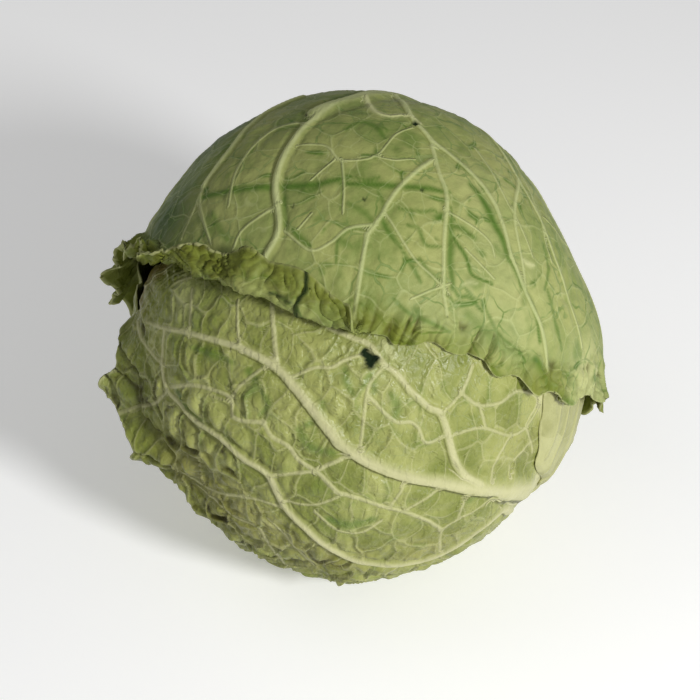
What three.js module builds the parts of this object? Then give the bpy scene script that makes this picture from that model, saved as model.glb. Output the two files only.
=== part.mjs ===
import * as THREE from "three";
import { mergeVertices } from "three/addons/utils/BufferGeometryUtils.js";

// A savoy cabbage head lying on its side, cut stalk low at the back. Millimetres, +Z up.
// The origin is the middle of the small flat spot on which the head rests.
// Each loose outer leaf is a thin waved blade wrapped round the tight heart, one radius per layer,
// so that the leaves overlap without touching.

// ---- driving dimensions ----
const HEAD_CENTRE_HEIGHT = 85;
const BLADE = 1.1; // thickness of a leaf
const LAYER = { cap: 91.2, side: 89.35, front: 86.7, under: 84.5, heart: 82 };
const STALK = { radius: 16, neck: 14.5, from: 81.5, to: 95, facing: [40, -47] };
const HEART_LOWEST = 2.4; // height of the heart above the floor, inside the lowest leaf
const WAVES_ROUND_MARGIN = [24, 37]; // ruffles round a whole leaf, a coarse and a fine set
const NOTCHES_ROUND_MARGIN = 29; // shallow dips of a leaf's outline
const NOTCH_DEPTH = 0.13; // share of the margin strip
const FLAP_SAMPLES = 14; // steps along a margin strip when its curl is summed
const FLAT_MARGIN = 20; // degrees of curl below which ruffles only stand outwards
const WAVE_SHARES = [0.7, 0.3]; // of the coarse and the fine ruffles
const VEIN_FLANK = 1.3; // a vein's slope, in half widths
const VEIN_REACH = 2.5; // slopes after which a vein no longer counts
const VEIN_SPACING = 2.5; // between the traced points of a vein
const VEIN_CORNER = 3; // every third traced point is a corner of the mesh
const FOLD_CLEAR = 0.96; // share of the way to the fold line that scattered corners keep within
const CORNER_CLEARANCE = { rib: 4.5, beside: 4, cell: 0.55 }; // mm, mm, share of a cell
const SHAKE = 3; // degrees by which the cells stray from their even spacing
const PRESSED = 0.36; // share of a leaf's relief that is left where another leaf lies on it
const PRESSED_EDGE = [1, 7]; // degrees beyond the covering leaf's edge over which the relief grows

// Broad rises and hollows of the head's own form: [azimuth, elevation, height, spread in degrees].
const HEAD_FORM = [
  [81, 50, 2.5, 40],
  [16, 18, -2.5, 25],
  [154, 27, -3, 30],
  [-90, -50, 6, 40],
  [-33, -33, 2, 30],
];

// The side leaf's thick base pushes out the leaf that lies over it.
const SIDE_BULGE = [-18, -12, 2.5, 22];

// The corner of the cap leaf that lifts off the side leaf.
const CORNER_LIFT = [-8, 4, 3.5, 16];

// A leaf is mapped round its own middle: a bearing of 0 points to its tip and 180 to its stalk,
// and "out" is the angle from the middle, seen from the head's centre.
// margin rows: [bearing, out where the margin strip starts, strip width, curl in degrees,
//   share of the strip that bends, ruffle height]
// rise: places, as in the head's form, where the leaf stands out.
// vein rows: { base: [half width, height], tip: [half width, height], path: [[bearing, out], ...] }
const LEAVES = [
  {
    name: "leaf_cap",
    coveredBy: [],
    facing: [67, 38],
    radius: LAYER.cap,
    colour: 0x93a05a,
    roughness: 0.5,
    cell: 17.6,
    net: 1.4,
    seed: 11,
    marginPoints: 104,
    rings: [0.14, 0.28, 0.42, 0.7, 1],
    rise: [SIDE_BULGE, CORNER_LIFT],
    margin: [
      [0, 94, 17, 200, 0.6, 2.2],
      [12, 90, 15, 110, 1, 2.6],
      [25, 87, 14, 60, 1, 2.6],
      [38, 84, 17, 40, 1, 2.8],
      [48, 83, 20, 34, 1, 2.8],
      [62, 87, 20, 34, 1, 3],
      [90, 89, 18, 28, 1, 2.6],
      [120, 87, 15, 20, 1, 2],
      [150, 84, 9, 8, 1, 0.8],
      [165, 81.5, 6, 0, 1, 0],
      [174, 75, 5, 0, 1, 0],
      [180, 73.5, 5, 0, 1, 0],
      [186, 75, 5, 0, 1, 0],
      [195, 81.5, 6, 0, 1, 0],
      [215, 83, 9, 5, 1, 0.5],
      [235, 78, 19, 22, 1, 1.8],
      [250, 77, 20, 22, 1, 1.6],
      [262, 84, 15, 4, 1, 0.8],
      [272, 86, 14, -4, 1, 0.6],
      [284, 87, 13, -20, 1, 0.5],
      [300, 87, 12, -22, 1, 0.5],
      [316, 90, 12, -20, 1, 0.5],
      [322, 95, 5, 20, 1, 0.4],
      [327, 97, 12, 185, 0.55, 0.4],
      [336, 97, 19, 185, 0.42, 0.8],
      [348, 95.5, 20, 185, 0.42, 1],
    ],
    veins: [
      { base: [7, 1.2], tip: [3, 2.1], path: [[180, 72], [180, 40], [0, 0], [353, 30]] },
      { base: [3, 2.1], tip: [1.6, 1.2], path: [[353, 30], [0, 52], [356, 67], [349, 79], [350, 90]] },
      { base: [2.2, 1.8], tip: [1.4, 0.9], path: [[15, 20], [24, 50], [15, 71], [4, 86]] },
      { base: [2, 1.5], tip: [1.4, 0.9], path: [[0, 45], [9, 64], [6, 78]] },
      { base: [2.4, 1.8], tip: [1.9, 1.5], path: [[340, 12], [335, 22], [319, 44], [311, 60]] },
      { base: [1.9, 1.5], tip: [1.4, 0.9], path: [[311, 60], [311, 71], [306, 86]] },
      { base: [2, 1.5], tip: [1.4, 0.8], path: [[319, 45], [325, 61], [328, 76], [327, 90]] },
      { base: [2, 1.5], tip: [1.4, 0.8], path: [[319, 44], [300, 56], [292, 70], [278, 83]] },
      { base: [2, 1.5], tip: [1.4, 0.8], path: [[280, 12], [283, 42], [276, 62], [262, 80]] },
      { base: [2.2, 1.5], tip: [1.4, 0.9], path: [[60, 12], [50, 40], [42, 62], [38, 80]] },
      { base: [2.2, 1.5], tip: [1.4, 0.9], path: [[120, 14], [88, 40], [78, 64], [74, 86]] },
      { base: [2.4, 1.5], tip: [1.4, 0.9], path: [[165, 34], [128, 46], [110, 66], [106, 86]] },
      { base: [2.4, 1.5], tip: [1.4, 0.9], path: [[230, 14], [250, 40], [248, 62], [244, 76]] },
      { base: [2.4, 1.5], tip: [1.4, 0.8], path: [[190, 36], [216, 48], [222, 66], [222, 80]] },
    ],
  },
  {
    name: "leaf_side",
    coveredBy: ["leaf_cap"],
    facing: [9, -27],
    radius: LAYER.side,
    colour: 0xcfd0a0,
    roughness: 0.5,
    cell: 14.5,
    net: 0.7,
    seed: 23,
    marginPoints: 48,
    rings: [0.5, 1],
    rise: [SIDE_BULGE],
    margin: [
      [0, 50, 6, 0, 1, 0.3],
      [20, 44, 6, 0, 1, 0],
      [60, 42, 6, 0, 1, 0],
      [90, 44, 6, 0, 1, 0],
      [120, 38, 6, 0, 1, 0],
      [150, 26, 6, 0, 1, 0],
      [170, 17.5, 4, 0, 1, 0],
      [180, 16.5, 4, 0, 1, 0],
      [190, 17.5, 4, 0, 1, 0],
      [210, 24, 6, 0, 1, 0],
      [240, 30, 6, 0, 1, 0.3],
      [270, 30, 6, 0, 1, 0.3],
      [300, 28, 6, 0, 1, 0.3],
      [310, 33, 6, 0, 1, 0.3],
      [326, 45, 6, 0, 1, 0.3],
      [338, 50, 6, 0, 1, 0.3],
      [347, 53, 6, 0, 1, 0.3],
    ],
    veins: [
      { base: [6, 1.3], tip: [3, 1.3], path: [[180, 16], [0, 0], [0, 28]] },
      { base: [3, 1.3], tip: [2, 1.1], path: [[200, 14], [300, 8], [325, 26]] },
      { base: [3, 1.3], tip: [2, 1.1], path: [[210, 18], [270, 14], [295, 32]] },
      { base: [3, 1.1], tip: [2, 0.9], path: [[160, 14], [60, 8], [35, 34]] },
      { base: [3, 1.1], tip: [2, 0.9], path: [[150, 18], [90, 16], [70, 38]] },
    ],
  },
  {
    name: "leaf_front",
    coveredBy: ["leaf_cap", "leaf_side"],
    facing: [-65, 0],
    radius: LAYER.front,
    colour: 0xa7a95f,
    roughness: 0.45,
    cell: 12.8,
    net: 2,
    seed: 37,
    marginPoints: 104,
    rings: [0.3, 0.62, 1],
    rise: [SIDE_BULGE],
    margin: [
      [0, 78, 7, -10, 1, 0],
      [15, 76, 6, 0, 1, 0],
      [30, 70, 6, 0, 1, 0],
      [45, 65, 6, 0, 1, 0],
      [60, 60, 6, 0, 1, 0],
      [90, 55, 6, 0, 1, 0],
      [120, 58, 6, 0, 1, 0],
      [150, 74, 6, 0, 1, 0],
      [165, 87, 6, 0, 1, 0],
      [174, 86, 5, 0, 1, 0],
      [180, 85, 5, 0, 1, 0],
      [186, 86, 5, 0, 1, 0],
      [195, 84, 6, 0, 1, 0],
      [210, 64, 6, 0, 1, 0.2],
      [225, 54, 6, 0, 1, 0.3],
      [255, 54, 6, 0, 1, 0.3],
      [275, 57, 8, 5, 1, 0.8],
      [288, 60, 10, 12, 1, 1.2],
      [296, 63, 14, 25, 1, 2],
      [304, 68, 26, 42, 1, 3],
      [313, 76, 32, 46, 1, 3],
      [322, 84, 22, 30, 1, 2.2],
      [329, 88, 15, -18, 1, 0.6],
      [340, 90, 19, -26, 1, 0.6],
      [350, 87, 15, -24, 1, 0.4],
    ],
    veins: [
      { base: [10, 0.5], tip: [6, 1.2], path: [[180, 82], [176, 55], [172, 32]] },
      { base: [6, 1.2], tip: [3.4, 2.5], path: [[172, 32], [170, 12], [0, 1], [334, 12]] },
      { base: [3.4, 2.5], tip: [2.2, 1.6], path: [[334, 12], [337, 23], [342, 32], [349, 43], [352, 55]] },
      { base: [2.4, 1.8], tip: [1.6, 1.2], path: [[352, 55], [349, 64], [342, 76], [335, 87]] },
      { base: [1.6, 1.3], tip: [1.4, 0.8], path: [[352, 55], [4, 62], [6, 70]] },
      { base: [2.8, 2], tip: [1.8, 1.3], path: [[60, 3], [32, 17], [20, 28], [15, 42], [10, 55]] },
      { base: [1.8, 1.3], tip: [1.4, 0.8], path: [[31, 19], [49, 22], [55, 30]] },
      { base: [1.8, 1.3], tip: [1.4, 0.8], path: [[50, 21], [72, 19.5], [86, 26]] },
      { base: [1.8, 1.3], tip: [1.4, 0.8], path: [[15, 43], [3, 49], [354, 51]] },
      { base: [3.6, 1], tip: [2.6, 2.1], path: [[190, 36], [225, 33], [257, 40], [284, 40]] },
      { base: [2.6, 2.1], tip: [2, 1.6], path: [[284, 40], [297, 42], [309, 45], [319, 58], [327, 76]] },
      { base: [2, 1.6], tip: [1.8, 1.4], path: [[262, 14], [302, 20], [313, 28], [323, 41]] },
      { base: [1.8, 1.4], tip: [1.6, 1], path: [[323, 41], [327, 55], [328, 72]] },
      { base: [2, 1.3], tip: [1.6, 1], path: [[297, 43], [299, 53], [303, 64]] },
      { base: [2, 1.3], tip: [1.6, 0.9], path: [[303, 64], [292, 56], [281, 53], [268, 52]] },
    ],
  },
  {
    name: "leaf_under",
    coveredBy: ["leaf_cap", "leaf_side", "leaf_front"],
    facing: [175, -63],
    radius: LAYER.under,
    colour: 0x8f9556,
    roughness: 0.5,
    cell: 21,
    net: 1.6,
    seed: 53,
    marginPoints: 72,
    rings: [0.5, 1],
    rise: [],
    margin: [
      [0, 71, 8, 0, 1, 0],
      [15, 69, 8, 0, 1, 0],
      [30, 66, 7, 0, 1, 0],
      [60, 62, 7, 0, 1, 0],
      [120, 60, 7, 0, 1, 0],
      [150, 60, 6, 0, 1, 0],
      [164, 56.5, 5, 0, 1, 0],
      [173, 50, 5, 0, 1, 0],
      [180, 49, 5, 0, 1, 0],
      [187, 50, 5, 0, 1, 0],
      [196, 56.5, 5, 0, 1, 0],
      [210, 60, 6, 0, 1, 0],
      [240, 62, 7, 0, 1, 0],
      [270, 68, 7, 0, 1, 0],
      [300, 71, 8, 0, 1, 0.3],
      [315, 72, 12, 18, 1, 1.4],
      [332, 74, 13, 22, 1, 1.8],
      [345, 72, 9, 0, 1, 0.3],
    ],
    veins: [
      { base: [7, 1.3], tip: [2.4, 1.6], path: [[180, 48], [0, 0], [350, 40], [345, 72]] },
      { base: [2.4, 1.4], tip: [1.6, 1.1], path: [[180, 26], [100, 26], [60, 48], [50, 62]] },
      { base: [2.4, 1.4], tip: [1.6, 1.1], path: [[0, 2], [40, 28], [25, 56], [20, 68]] },
      { base: [2.4, 1.4], tip: [1.6, 1.1], path: [[180, 26], [250, 26], [290, 46], [300, 66]] },
      { base: [2.4, 1.4], tip: [1.6, 1.1], path: [[180, 38], [215, 40], [235, 56]] },
      { base: [2.4, 1.4], tip: [1.6, 1.1], path: [[0, 6], [320, 28], [322, 50], [325, 68]] },
    ],
  },
];

// ---- geometry helpers ----
const radians = THREE.MathUtils.degToRad;
const degrees = THREE.MathUtils.radToDeg;
const HEAD_CENTRE = new THREE.Vector3(0, 0, HEAD_CENTRE_HEIGHT);

// The unit vector that points to an azimuth and an elevation, in degrees.
function facing(azimuth, elevation) {
  const [round, rise] = [radians(azimuth), radians(elevation)];
  const level = Math.cos(rise);
  return new THREE.Vector3(level * Math.cos(round), level * Math.sin(round), Math.sin(rise));
}

const STEM = facing(...STALK.facing);

// The sum of soft rises in one direction, each given as [azimuth, elevation, height, spread].
function rises(list, direction) {
  return list.reduce((sum, [azimuth, elevation, height, spread]) => {
    const nearness = direction.dot(facing(azimuth, elevation)) - 1;
    return sum + height * Math.exp(nearness / (1 - Math.cos(radians(spread))));
  }, 0);
}

// A repeatable draw between 0 and 1.
function makeDraw(seed) {
  let state = seed;
  return () => {
    state = (state * 16807) % 2147483647;
    return state / 2147483647;
  };
}

// The chart of a leaf: directions from bearing and out, and back again.
function makeChart(leaf) {
  const middle = facing(...leaf.facing);
  const tip = STEM.clone().multiplyScalar(-1).addScaledVector(middle, STEM.dot(middle)).normalize();
  const side = new THREE.Vector3().crossVectors(tip, middle);
  const away = (bearing) =>
    tip.clone().multiplyScalar(Math.cos(radians(bearing)))
      .addScaledVector(side, Math.sin(radians(bearing)));
  return {
    direction: (bearing, out) =>
      middle.clone().multiplyScalar(Math.cos(radians(out)))
        .addScaledVector(away(bearing), Math.sin(radians(out))),
    outward: (bearing, out) =>
      middle.clone().multiplyScalar(-Math.sin(radians(out)))
        .addScaledVector(away(bearing), Math.cos(radians(out))),
    locate: (direction) => ({
      bearing: degrees(Math.atan2(direction.dot(side), direction.dot(tip))),
      out: degrees(Math.acos(THREE.MathUtils.clamp(direction.dot(middle), -1, 1))),
    }),
  };
}

const CHARTS = new Map(LEAVES.map((leaf) => [leaf.name, makeChart(leaf)]));

// The margin's values at a bearing, eased from one row to the next.
function marginAt(leaf, bearing) {
  const rows = leaf.margin;
  const turn = THREE.MathUtils.euclideanModulo(bearing, 360);
  let next = rows.findIndex((row) => row[0] > turn);
  if (next < 0) next = rows.length;
  const low = rows[next - 1];
  const high = next < rows.length ? rows[next] : [rows[0][0] + 360, ...rows[0].slice(1)];
  const ease = THREE.MathUtils.smoothstep(turn, low[0], high[0]);
  const [out, width, curl, bend, ruffle] = low.slice(1).map(
    (value, i) => THREE.MathUtils.lerp(value, high[i + 1], ease),
  );
  return { out, width, curl, bend, ruffle };
}

// Points every few millimetres along each vein, with the half width and height there.
function traceVeins(leaf, chart) {
  return leaf.veins.map((vein) => {
    const corners = vein.path.map(([bearing, out]) => chart.direction(bearing, out));
    const curve = new THREE.CatmullRomCurve3(corners, false, "centripetal");
    const steps = Math.max(2, Math.round((curve.getLength() * leaf.radius) / VEIN_SPACING));
    return curve.getSpacedPoints(steps).map((point, i) => ({
      direction: point.normalize(),
      halfWidth: THREE.MathUtils.lerp(vein.base[0], vein.tip[0], i / steps),
      height: THREE.MathUtils.lerp(vein.base[1], vein.tip[1], i / steps),
    }));
  });
}

// How far the veins stand out of the leaf in one direction.
function veinRise(veins, radius, direction) {
  let most = 0;
  for (const vein of veins)
    for (const point of vein) {
      const distance = point.direction.distanceTo(direction) * radius;
      const reach = distance / (point.halfWidth * VEIN_FLANK);
      if (reach < VEIN_REACH) most = Math.max(most, point.height * Math.exp(-reach * reach));
    }
  return most;
}

// Delaunay triangles of points in a plane, as triples of indices that turn anticlockwise.
function triangulate(points) {
  const far = 1e3;
  const all = [...points, [-far, -far], [far, -far], [0, far]];
  const n = points.length;
  const circle = (a, b, c) => {
    const [[ax, ay], [bx, by], [cx, cy]] = [all[a], all[b], all[c]];
    const d = 2 * (ax * (by - cy) + bx * (cy - ay) + cx * (ay - by));
    const a2 = ax * ax + ay * ay;
    const b2 = bx * bx + by * by;
    const c2 = cx * cx + cy * cy;
    const x = (a2 * (by - cy) + b2 * (cy - ay) + c2 * (ay - by)) / d;
    const y = (a2 * (cx - bx) + b2 * (ax - cx) + c2 * (bx - ax)) / d;
    return { corners: [a, b, c], x, y, r2: (ax - x) ** 2 + (ay - y) ** 2 };
  };
  let triangles = [circle(n, n + 1, n + 2)];
  points.forEach(([x, y], i) => {
    const open = new Map();
    triangles = triangles.filter((t) => {
      if ((t.x - x) ** 2 + (t.y - y) ** 2 > t.r2) return true;
      t.corners.forEach((from, k) => {
        const to = t.corners[(k + 1) % 3];
        if (!open.delete(`${to},${from}`)) open.set(`${from},${to}`, [from, to]);
      });
      return false;
    });
    for (const [from, to] of open.values()) triangles.push(circle(from, to, i));
  });
  return triangles.map((t) => t.corners).filter((corners) => corners.every((c) => c < n));
}

// The points of a leaf inside its margin: veins with a row on either side, then scattered cells.
function scatterPoints(leaf, chart, veins) {
  const draw = makeDraw(leaf.seed);
  const kept = [];
  const place = (direction, kind, clearance) => {
    const { bearing, out } = chart.locate(direction);
    const share = out / marginAt(leaf, bearing).out;
    const near = kept.some((p) => p.direction.distanceTo(direction) * leaf.radius < clearance);
    if (share < FOLD_CLEAR && !near) kept.push({ direction, bearing, share, kind });
  };
  for (const vein of veins)
    vein.forEach((point, i) => {
      if (i % VEIN_CORNER === 0) place(point.direction, "rib", CORNER_CLEARANCE.rib);
    });
  for (const vein of veins)
    vein.forEach((point, i) => {
      if (i % VEIN_CORNER !== 1 || i + 1 >= vein.length) return;
      const along = vein[i + 1].direction.clone().sub(point.direction).normalize();
      const across = new THREE.Vector3().crossVectors(along, point.direction);
      const foot = (point.halfWidth * 1.5 + 1.2) / leaf.radius;
      for (const offset of [-foot, foot]) {
        const beside = point.direction.clone().addScaledVector(across, offset).normalize();
        place(beside, "cell", CORNER_CLEARANCE.beside);
      }
    });
  // a spiral of evenly spaced points over the ball, shaken a little
  const goldenTurn = Math.PI * (3 - Math.sqrt(5));
  const cellArea = (Math.PI / 4) * leaf.cell ** 2;
  const count = Math.round((4 * Math.PI * leaf.radius ** 2) / cellArea);
  const widest = 120;
  for (let i = 0; i < count; i++) {
    const out = degrees(Math.acos(1 - (2 * (i + 0.5)) / count)) + (draw() - 0.5) * SHAKE;
    const bearing = degrees(i * goldenTurn) + (draw() - 0.5) * SHAKE;
    if (out > 0 && out < widest)
      place(chart.direction(bearing, out), "cell", leaf.cell * CORNER_CLEARANCE.cell);
  }
  return kept;
}

// The share of a leaf's relief that stands at one place: less where another leaf presses on it.
function looseness(leaf, direction) {
  return leaf.coveredBy.reduce((least, name) => {
    const cover = LEAVES.find((other) => other.name === name);
    const { bearing, out } = CHARTS.get(name).locate(direction);
    const edge = marginAt(cover, bearing);
    const overhang = edge.curl > 90 ? 0 : degrees(edge.width / cover.radius);
    const free = THREE.MathUtils.smoothstep(out - edge.out - overhang, ...PRESSED_EDGE);
    return Math.min(least, THREE.MathUtils.lerp(PRESSED, 1, free));
  }, 1);
}

// A corner of the leaf's middle surface inside the margin, with the direction its blade faces.
function surfaceCorner(leaf, veins, direction, lift) {
  const relief = Math.max(veinRise(veins, leaf.radius, direction), lift);
  const height = leaf.radius + rises(HEAD_FORM, direction) + rises(leaf.rise, direction)
    + relief * looseness(leaf, direction);
  return { place: direction.clone().multiplyScalar(height), normal: direction.clone() };
}

// How steeply the head's form rises outwards at one place of a leaf.
function formSlope(leaf, chart, bearing, out) {
  const reach = 2;
  const [near, far] = [out, out + reach].map((angle) => {
    const direction = chart.direction(bearing, angle);
    return rises(HEAD_FORM, direction) + rises(leaf.rise, direction);
  });
  return (far - near) / (leaf.radius * radians(reach));
}

// A corner in the margin strip: the strip leaves the ball at its fold line and curls as it goes.
function marginCorner(leaf, chart, veins, bearing, share) {
  const { out, width: plainWidth, curl, bend, ruffle } = marginAt(leaf, bearing);
  const width = plainWidth * (1 + NOTCH_DEPTH * Math.sin(radians(bearing * NOTCHES_ROUND_MARGIN)));
  const direction = chart.direction(bearing, out);
  const outward = chart.outward(bearing, out);
  const { place } = surfaceCorner(leaf, veins, direction, 0);
  const leaving = Math.atan(formSlope(leaf, chart, bearing, out));
  const step = (width * share) / FLAP_SAMPLES;
  let lean = 0;
  for (let i = 0; i < FLAP_SAMPLES; i++) {
    const travelled = (i + 0.5) * step;
    const turned = Math.min(1, travelled / (width * bend));
    lean = leaving + radians(curl) * turned - travelled / leaf.radius;
    place.addScaledVector(outward, Math.cos(lean) * step);
    place.addScaledVector(direction, Math.sin(lean) * step);
  }
  const normal = direction.clone().multiplyScalar(Math.cos(lean))
    .addScaledVector(outward, -Math.sin(lean));
  const wave = WAVES_ROUND_MARGIN.reduce((sum, waves, i) => {
    return sum + WAVE_SHARES[i] * Math.sin(radians(bearing * waves) + leaf.seed + i);
  }, 0);
  const lift = ruffle * share * (Math.abs(curl) < FLAT_MARGIN ? (1 + wave) / 2 : wave);
  return { place: place.addScaledVector(normal, lift), normal };
}

// Splits each triangle between cells at its middle and turns their shared edges,
// so that raised corners ring each cell: the net of a savoy leaf.
function raiseNet(leaf, points, triangles) {
  const netPoints = [];
  const split = triangles.map((corners) => corners.every((c) => points[c].kind !== "rib"));
  const owner = new Map();
  triangles.forEach((corners, t) =>
    corners.forEach((from, k) => owner.set(`${from},${corners[(k + 1) % 3]}`, t)));
  const centre = triangles.map((corners, t) => {
    if (!split[t]) return -1;
    const sum = (axis) => corners.reduce((total, c) => total + points[c].disc[axis], 0);
    netPoints.push({ disc: [sum(0) / 3, sum(1) / 3], kind: "net" });
    return points.length + netPoints.length - 1;
  });
  const faces = [];
  triangles.forEach((corners, t) => {
    if (!split[t]) {
      faces.push(corners);
      return;
    }
    corners.forEach((from, k) => {
      const to = corners[(k + 1) % 3];
      const other = owner.get(`${to},${from}`);
      if (other === undefined || !split[other]) faces.push([from, to, centre[t]]);
      else faces.push([from, centre[other], centre[t]]);
    });
  });
  return { netPoints, faces };
}

// One leaf: a closed blade whose outer and inner faces are split alike.
function makeLeaf(leaf) {
  const chart = CHARTS.get(leaf.name);
  const veins = traceVeins(leaf, chart);
  const count = leaf.marginPoints;
  const bearingOf = (i) => (360 * i) / count;
  const onDisc = (bearing, share) => [
    share * Math.cos(radians(bearing)),
    share * Math.sin(radians(bearing)),
  ];
  const inside = scatterPoints(leaf, chart, veins).map(({ bearing, share, kind }) => {
    return { disc: onDisc(bearing, share), kind };
  });
  const fold = Array.from({ length: count }, (_, i) => {
    return { disc: onDisc(bearingOf(i), 1), kind: "fold" };
  });
  const points = [...inside, ...fold];
  const { netPoints, faces } = raiseNet(leaf, points, triangulate(points.map((p) => p.disc)));

  const corners = [...points, ...netPoints].map(({ disc: [u, v], kind }) => {
    const bearing = degrees(Math.atan2(v, u));
    const share = Math.hypot(u, v);
    const direction = chart.direction(bearing, share * marginAt(leaf, bearing).out);
    const towardsMargin = THREE.MathUtils.smoothstep(share, 0.85, 1);
    const lift = kind === "net" ? leaf.net * (1 - towardsMargin) : 0;
    return surfaceCorner(leaf, veins, direction, lift);
  });

  // the margin strip, ring by ring outwards from the fold line
  let inner = inside.length;
  for (const share of leaf.rings) {
    const start = corners.length;
    for (let i = 0; i < count; i++)
      corners.push(marginCorner(leaf, chart, veins, bearingOf(i), share));
    for (let i = 0; i < count; i++) {
      const j = (i + 1) % count;
      faces.push([inner + i, start + i, start + j], [inner + i, start + j, inner + j]);
    }
    inner = start;
  }

  const outerFace = corners.map(({ place, normal }) => settle(place, normal, BLADE / 2, 0));
  const innerFace = corners.map(({ place, normal }) => settle(place, normal, -BLADE / 2, BLADE));
  const index = [];
  const half = corners.length;
  for (const [a, b, c] of faces) index.push(a, c, b, half + a, half + b, half + c);
  for (let i = 0; i < count; i++) {
    const [a, b] = [inner + i, inner + ((i + 1) % count)];
    index.push(a, b, half + b, a, half + b, half + a);
  }
  const geometry = new THREE.BufferGeometry().setFromPoints([...outerFace, ...innerFace]);
  geometry.setIndex(index);
  return geometry;
}

// A face corner in the part's frame, kept off the floor.
function settle(place, normal, offset, lowest) {
  const point = place.clone().addScaledVector(normal, offset).add(HEAD_CENTRE);
  point.z = Math.max(point.z, lowest);
  return point;
}

// The heart: a ball of tightly packed leaves whose edges overlap round it, flat where the stalk is.
function makeHeart() {
  const ball = new THREE.IcosahedronGeometry(1, 7);
  ball.deleteAttribute("normal");
  ball.deleteAttribute("uv");
  const geometry = mergeVertices(ball, 1e-4);
  const wraps = 5; // leaf edges met on the way round the stalk
  const lean = 1.2; // turns that an edge leads on its way from the stalk to the far end
  const edgeStep = 1.4;
  const gape = [[-165, 25, -9, 24]]; // where the loose leaves part, the heart lies deeper
  const stalkGap = 0.4;
  const position = geometry.attributes.position;
  const across = new THREE.Vector3(0, 0, 1).cross(STEM).normalize();
  const up = new THREE.Vector3().crossVectors(STEM, across);
  for (let i = 0; i < position.count; i++) {
    const direction = new THREE.Vector3().fromBufferAttribute(position, i).normalize();
    const round = Math.atan2(direction.dot(up), direction.dot(across)) / (2 * Math.PI);
    const spiral = round * wraps + (1 + direction.dot(STEM)) * lean;
    const fromAxis = Math.sqrt(1 - direction.dot(STEM) ** 2);
    const edge = edgeStep * THREE.MathUtils.euclideanModulo(spiral, 1) * fromAxis;
    const place = direction.clone().multiplyScalar(
      LAYER.heart - edge + rises(HEAD_FORM, direction) + rises(gape, direction),
    );
    const beyond = place.dot(STEM) - (STALK.from - stalkGap);
    if (beyond > 0) place.addScaledVector(STEM, -beyond);
    const point = place.add(HEAD_CENTRE);
    position.setXYZ(i, point.x, point.y, Math.max(point.z, HEART_LOWEST));
  }
  return geometry;
}

// The stalk: a short cut stump, turned about its own length, with a worn rim.
function makeStalk() {
  const rim = 1.5;
  const length = STALK.to - STALK.from;
  const profile = [
    [0, 0],
    [STALK.neck, 0],
    [STALK.neck, length * 0.35],
    [STALK.radius, length * 0.7],
    [STALK.radius, length - rim],
    [STALK.radius - rim, length],
    [0, length],
  ].map(([x, y]) => new THREE.Vector2(x, y));
  const ribs = 28;
  return mergeVertices(stripped(new THREE.LatheGeometry(profile, ribs)), 1e-3);
}

function stripped(geometry) {
  geometry.deleteAttribute("normal");
  geometry.deleteAttribute("uv");
  return geometry;
}

// ---- assembly ----
const group = new THREE.Group();

function addMesh(name, geometry, colour, roughness) {
  const material = new THREE.MeshStandardMaterial({ color: colour, roughness, metalness: 0 });
  const mesh = new THREE.Mesh(geometry, material);
  mesh.name = name;
  group.add(mesh);
  return mesh;
}

for (const leaf of LEAVES) addMesh(leaf.name, makeLeaf(leaf), leaf.colour, leaf.roughness);
addMesh("heart", makeHeart(), 0xb9bf7c, 0.5);
const stalk = addMesh("stalk", makeStalk(), 0xd6cfa6, 0.6);
stalk.quaternion.setFromUnitVectors(new THREE.Vector3(0, 1, 0), STEM);
stalk.position.copy(HEAD_CENTRE).addScaledVector(STEM, STALK.from);

export default group;
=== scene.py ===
import math

import bmesh
import bpy
import numpy as np
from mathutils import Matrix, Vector, kdtree


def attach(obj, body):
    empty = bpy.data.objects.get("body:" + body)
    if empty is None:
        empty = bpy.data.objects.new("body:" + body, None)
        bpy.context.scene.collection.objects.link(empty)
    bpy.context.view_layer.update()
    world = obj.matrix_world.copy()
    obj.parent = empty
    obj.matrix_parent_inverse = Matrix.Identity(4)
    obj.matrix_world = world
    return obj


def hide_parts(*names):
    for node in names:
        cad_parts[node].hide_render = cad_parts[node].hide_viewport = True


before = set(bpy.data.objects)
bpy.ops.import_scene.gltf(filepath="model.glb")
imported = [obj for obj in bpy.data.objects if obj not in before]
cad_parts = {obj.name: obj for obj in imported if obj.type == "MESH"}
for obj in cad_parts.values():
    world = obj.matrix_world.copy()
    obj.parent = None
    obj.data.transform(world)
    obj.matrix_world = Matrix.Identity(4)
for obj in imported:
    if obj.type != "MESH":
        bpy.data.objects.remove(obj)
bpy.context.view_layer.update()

bl_info = {
    "name": "Savoy Cabbage",
    "version": (1, 0, 0),
    "blender": (4, 5, 0),
    "location": "View3D > Sidebar > Savoy",
    "description": "Dresses a savoy cabbage head with veined, blistered leaves, a heart and a cut stalk",
    "category": "Object",
}

# Shape is worked out in millimetres round the head's centre, and meshes are written in metres.
MM = 0.001
ROOT = "root"

# ---- the head, as in its CAD solids ----
HEAD_CENTRE = np.array([0.0, 0.0, 85.0])
STEM_FACING = (40, -47)
FLAP_SAMPLES = 14
WAVES_ROUND_MARGIN = (24, 37)
WAVE_SHARES = (0.7, 0.3)
NOTCHES_ROUND_MARGIN = 29
NOTCH_DEPTH = 0.13
FLAT_MARGIN = 20
PRESSED = 0.3
PRESSED_EDGE = (1, 6)
BLADE_OUTSIDE = 0.55  # of the leaf's outer face beyond its layer's radius
SIDE_BULGE = (-18, -12, 2.5, 22)
CORNER_LIFT = (-8, 4, 3.5, 16)
# Broad rises and hollows: (azimuth, elevation, height, spread in degrees).
HEAD_FORM = [
    (81, 50, 2.5, 40),
    (16, 18, -2.5, 25),
    (154, 27, -3, 30),
    (-90, -50, 6, 40),
    (-33, -33, 2, 30),
]

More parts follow.
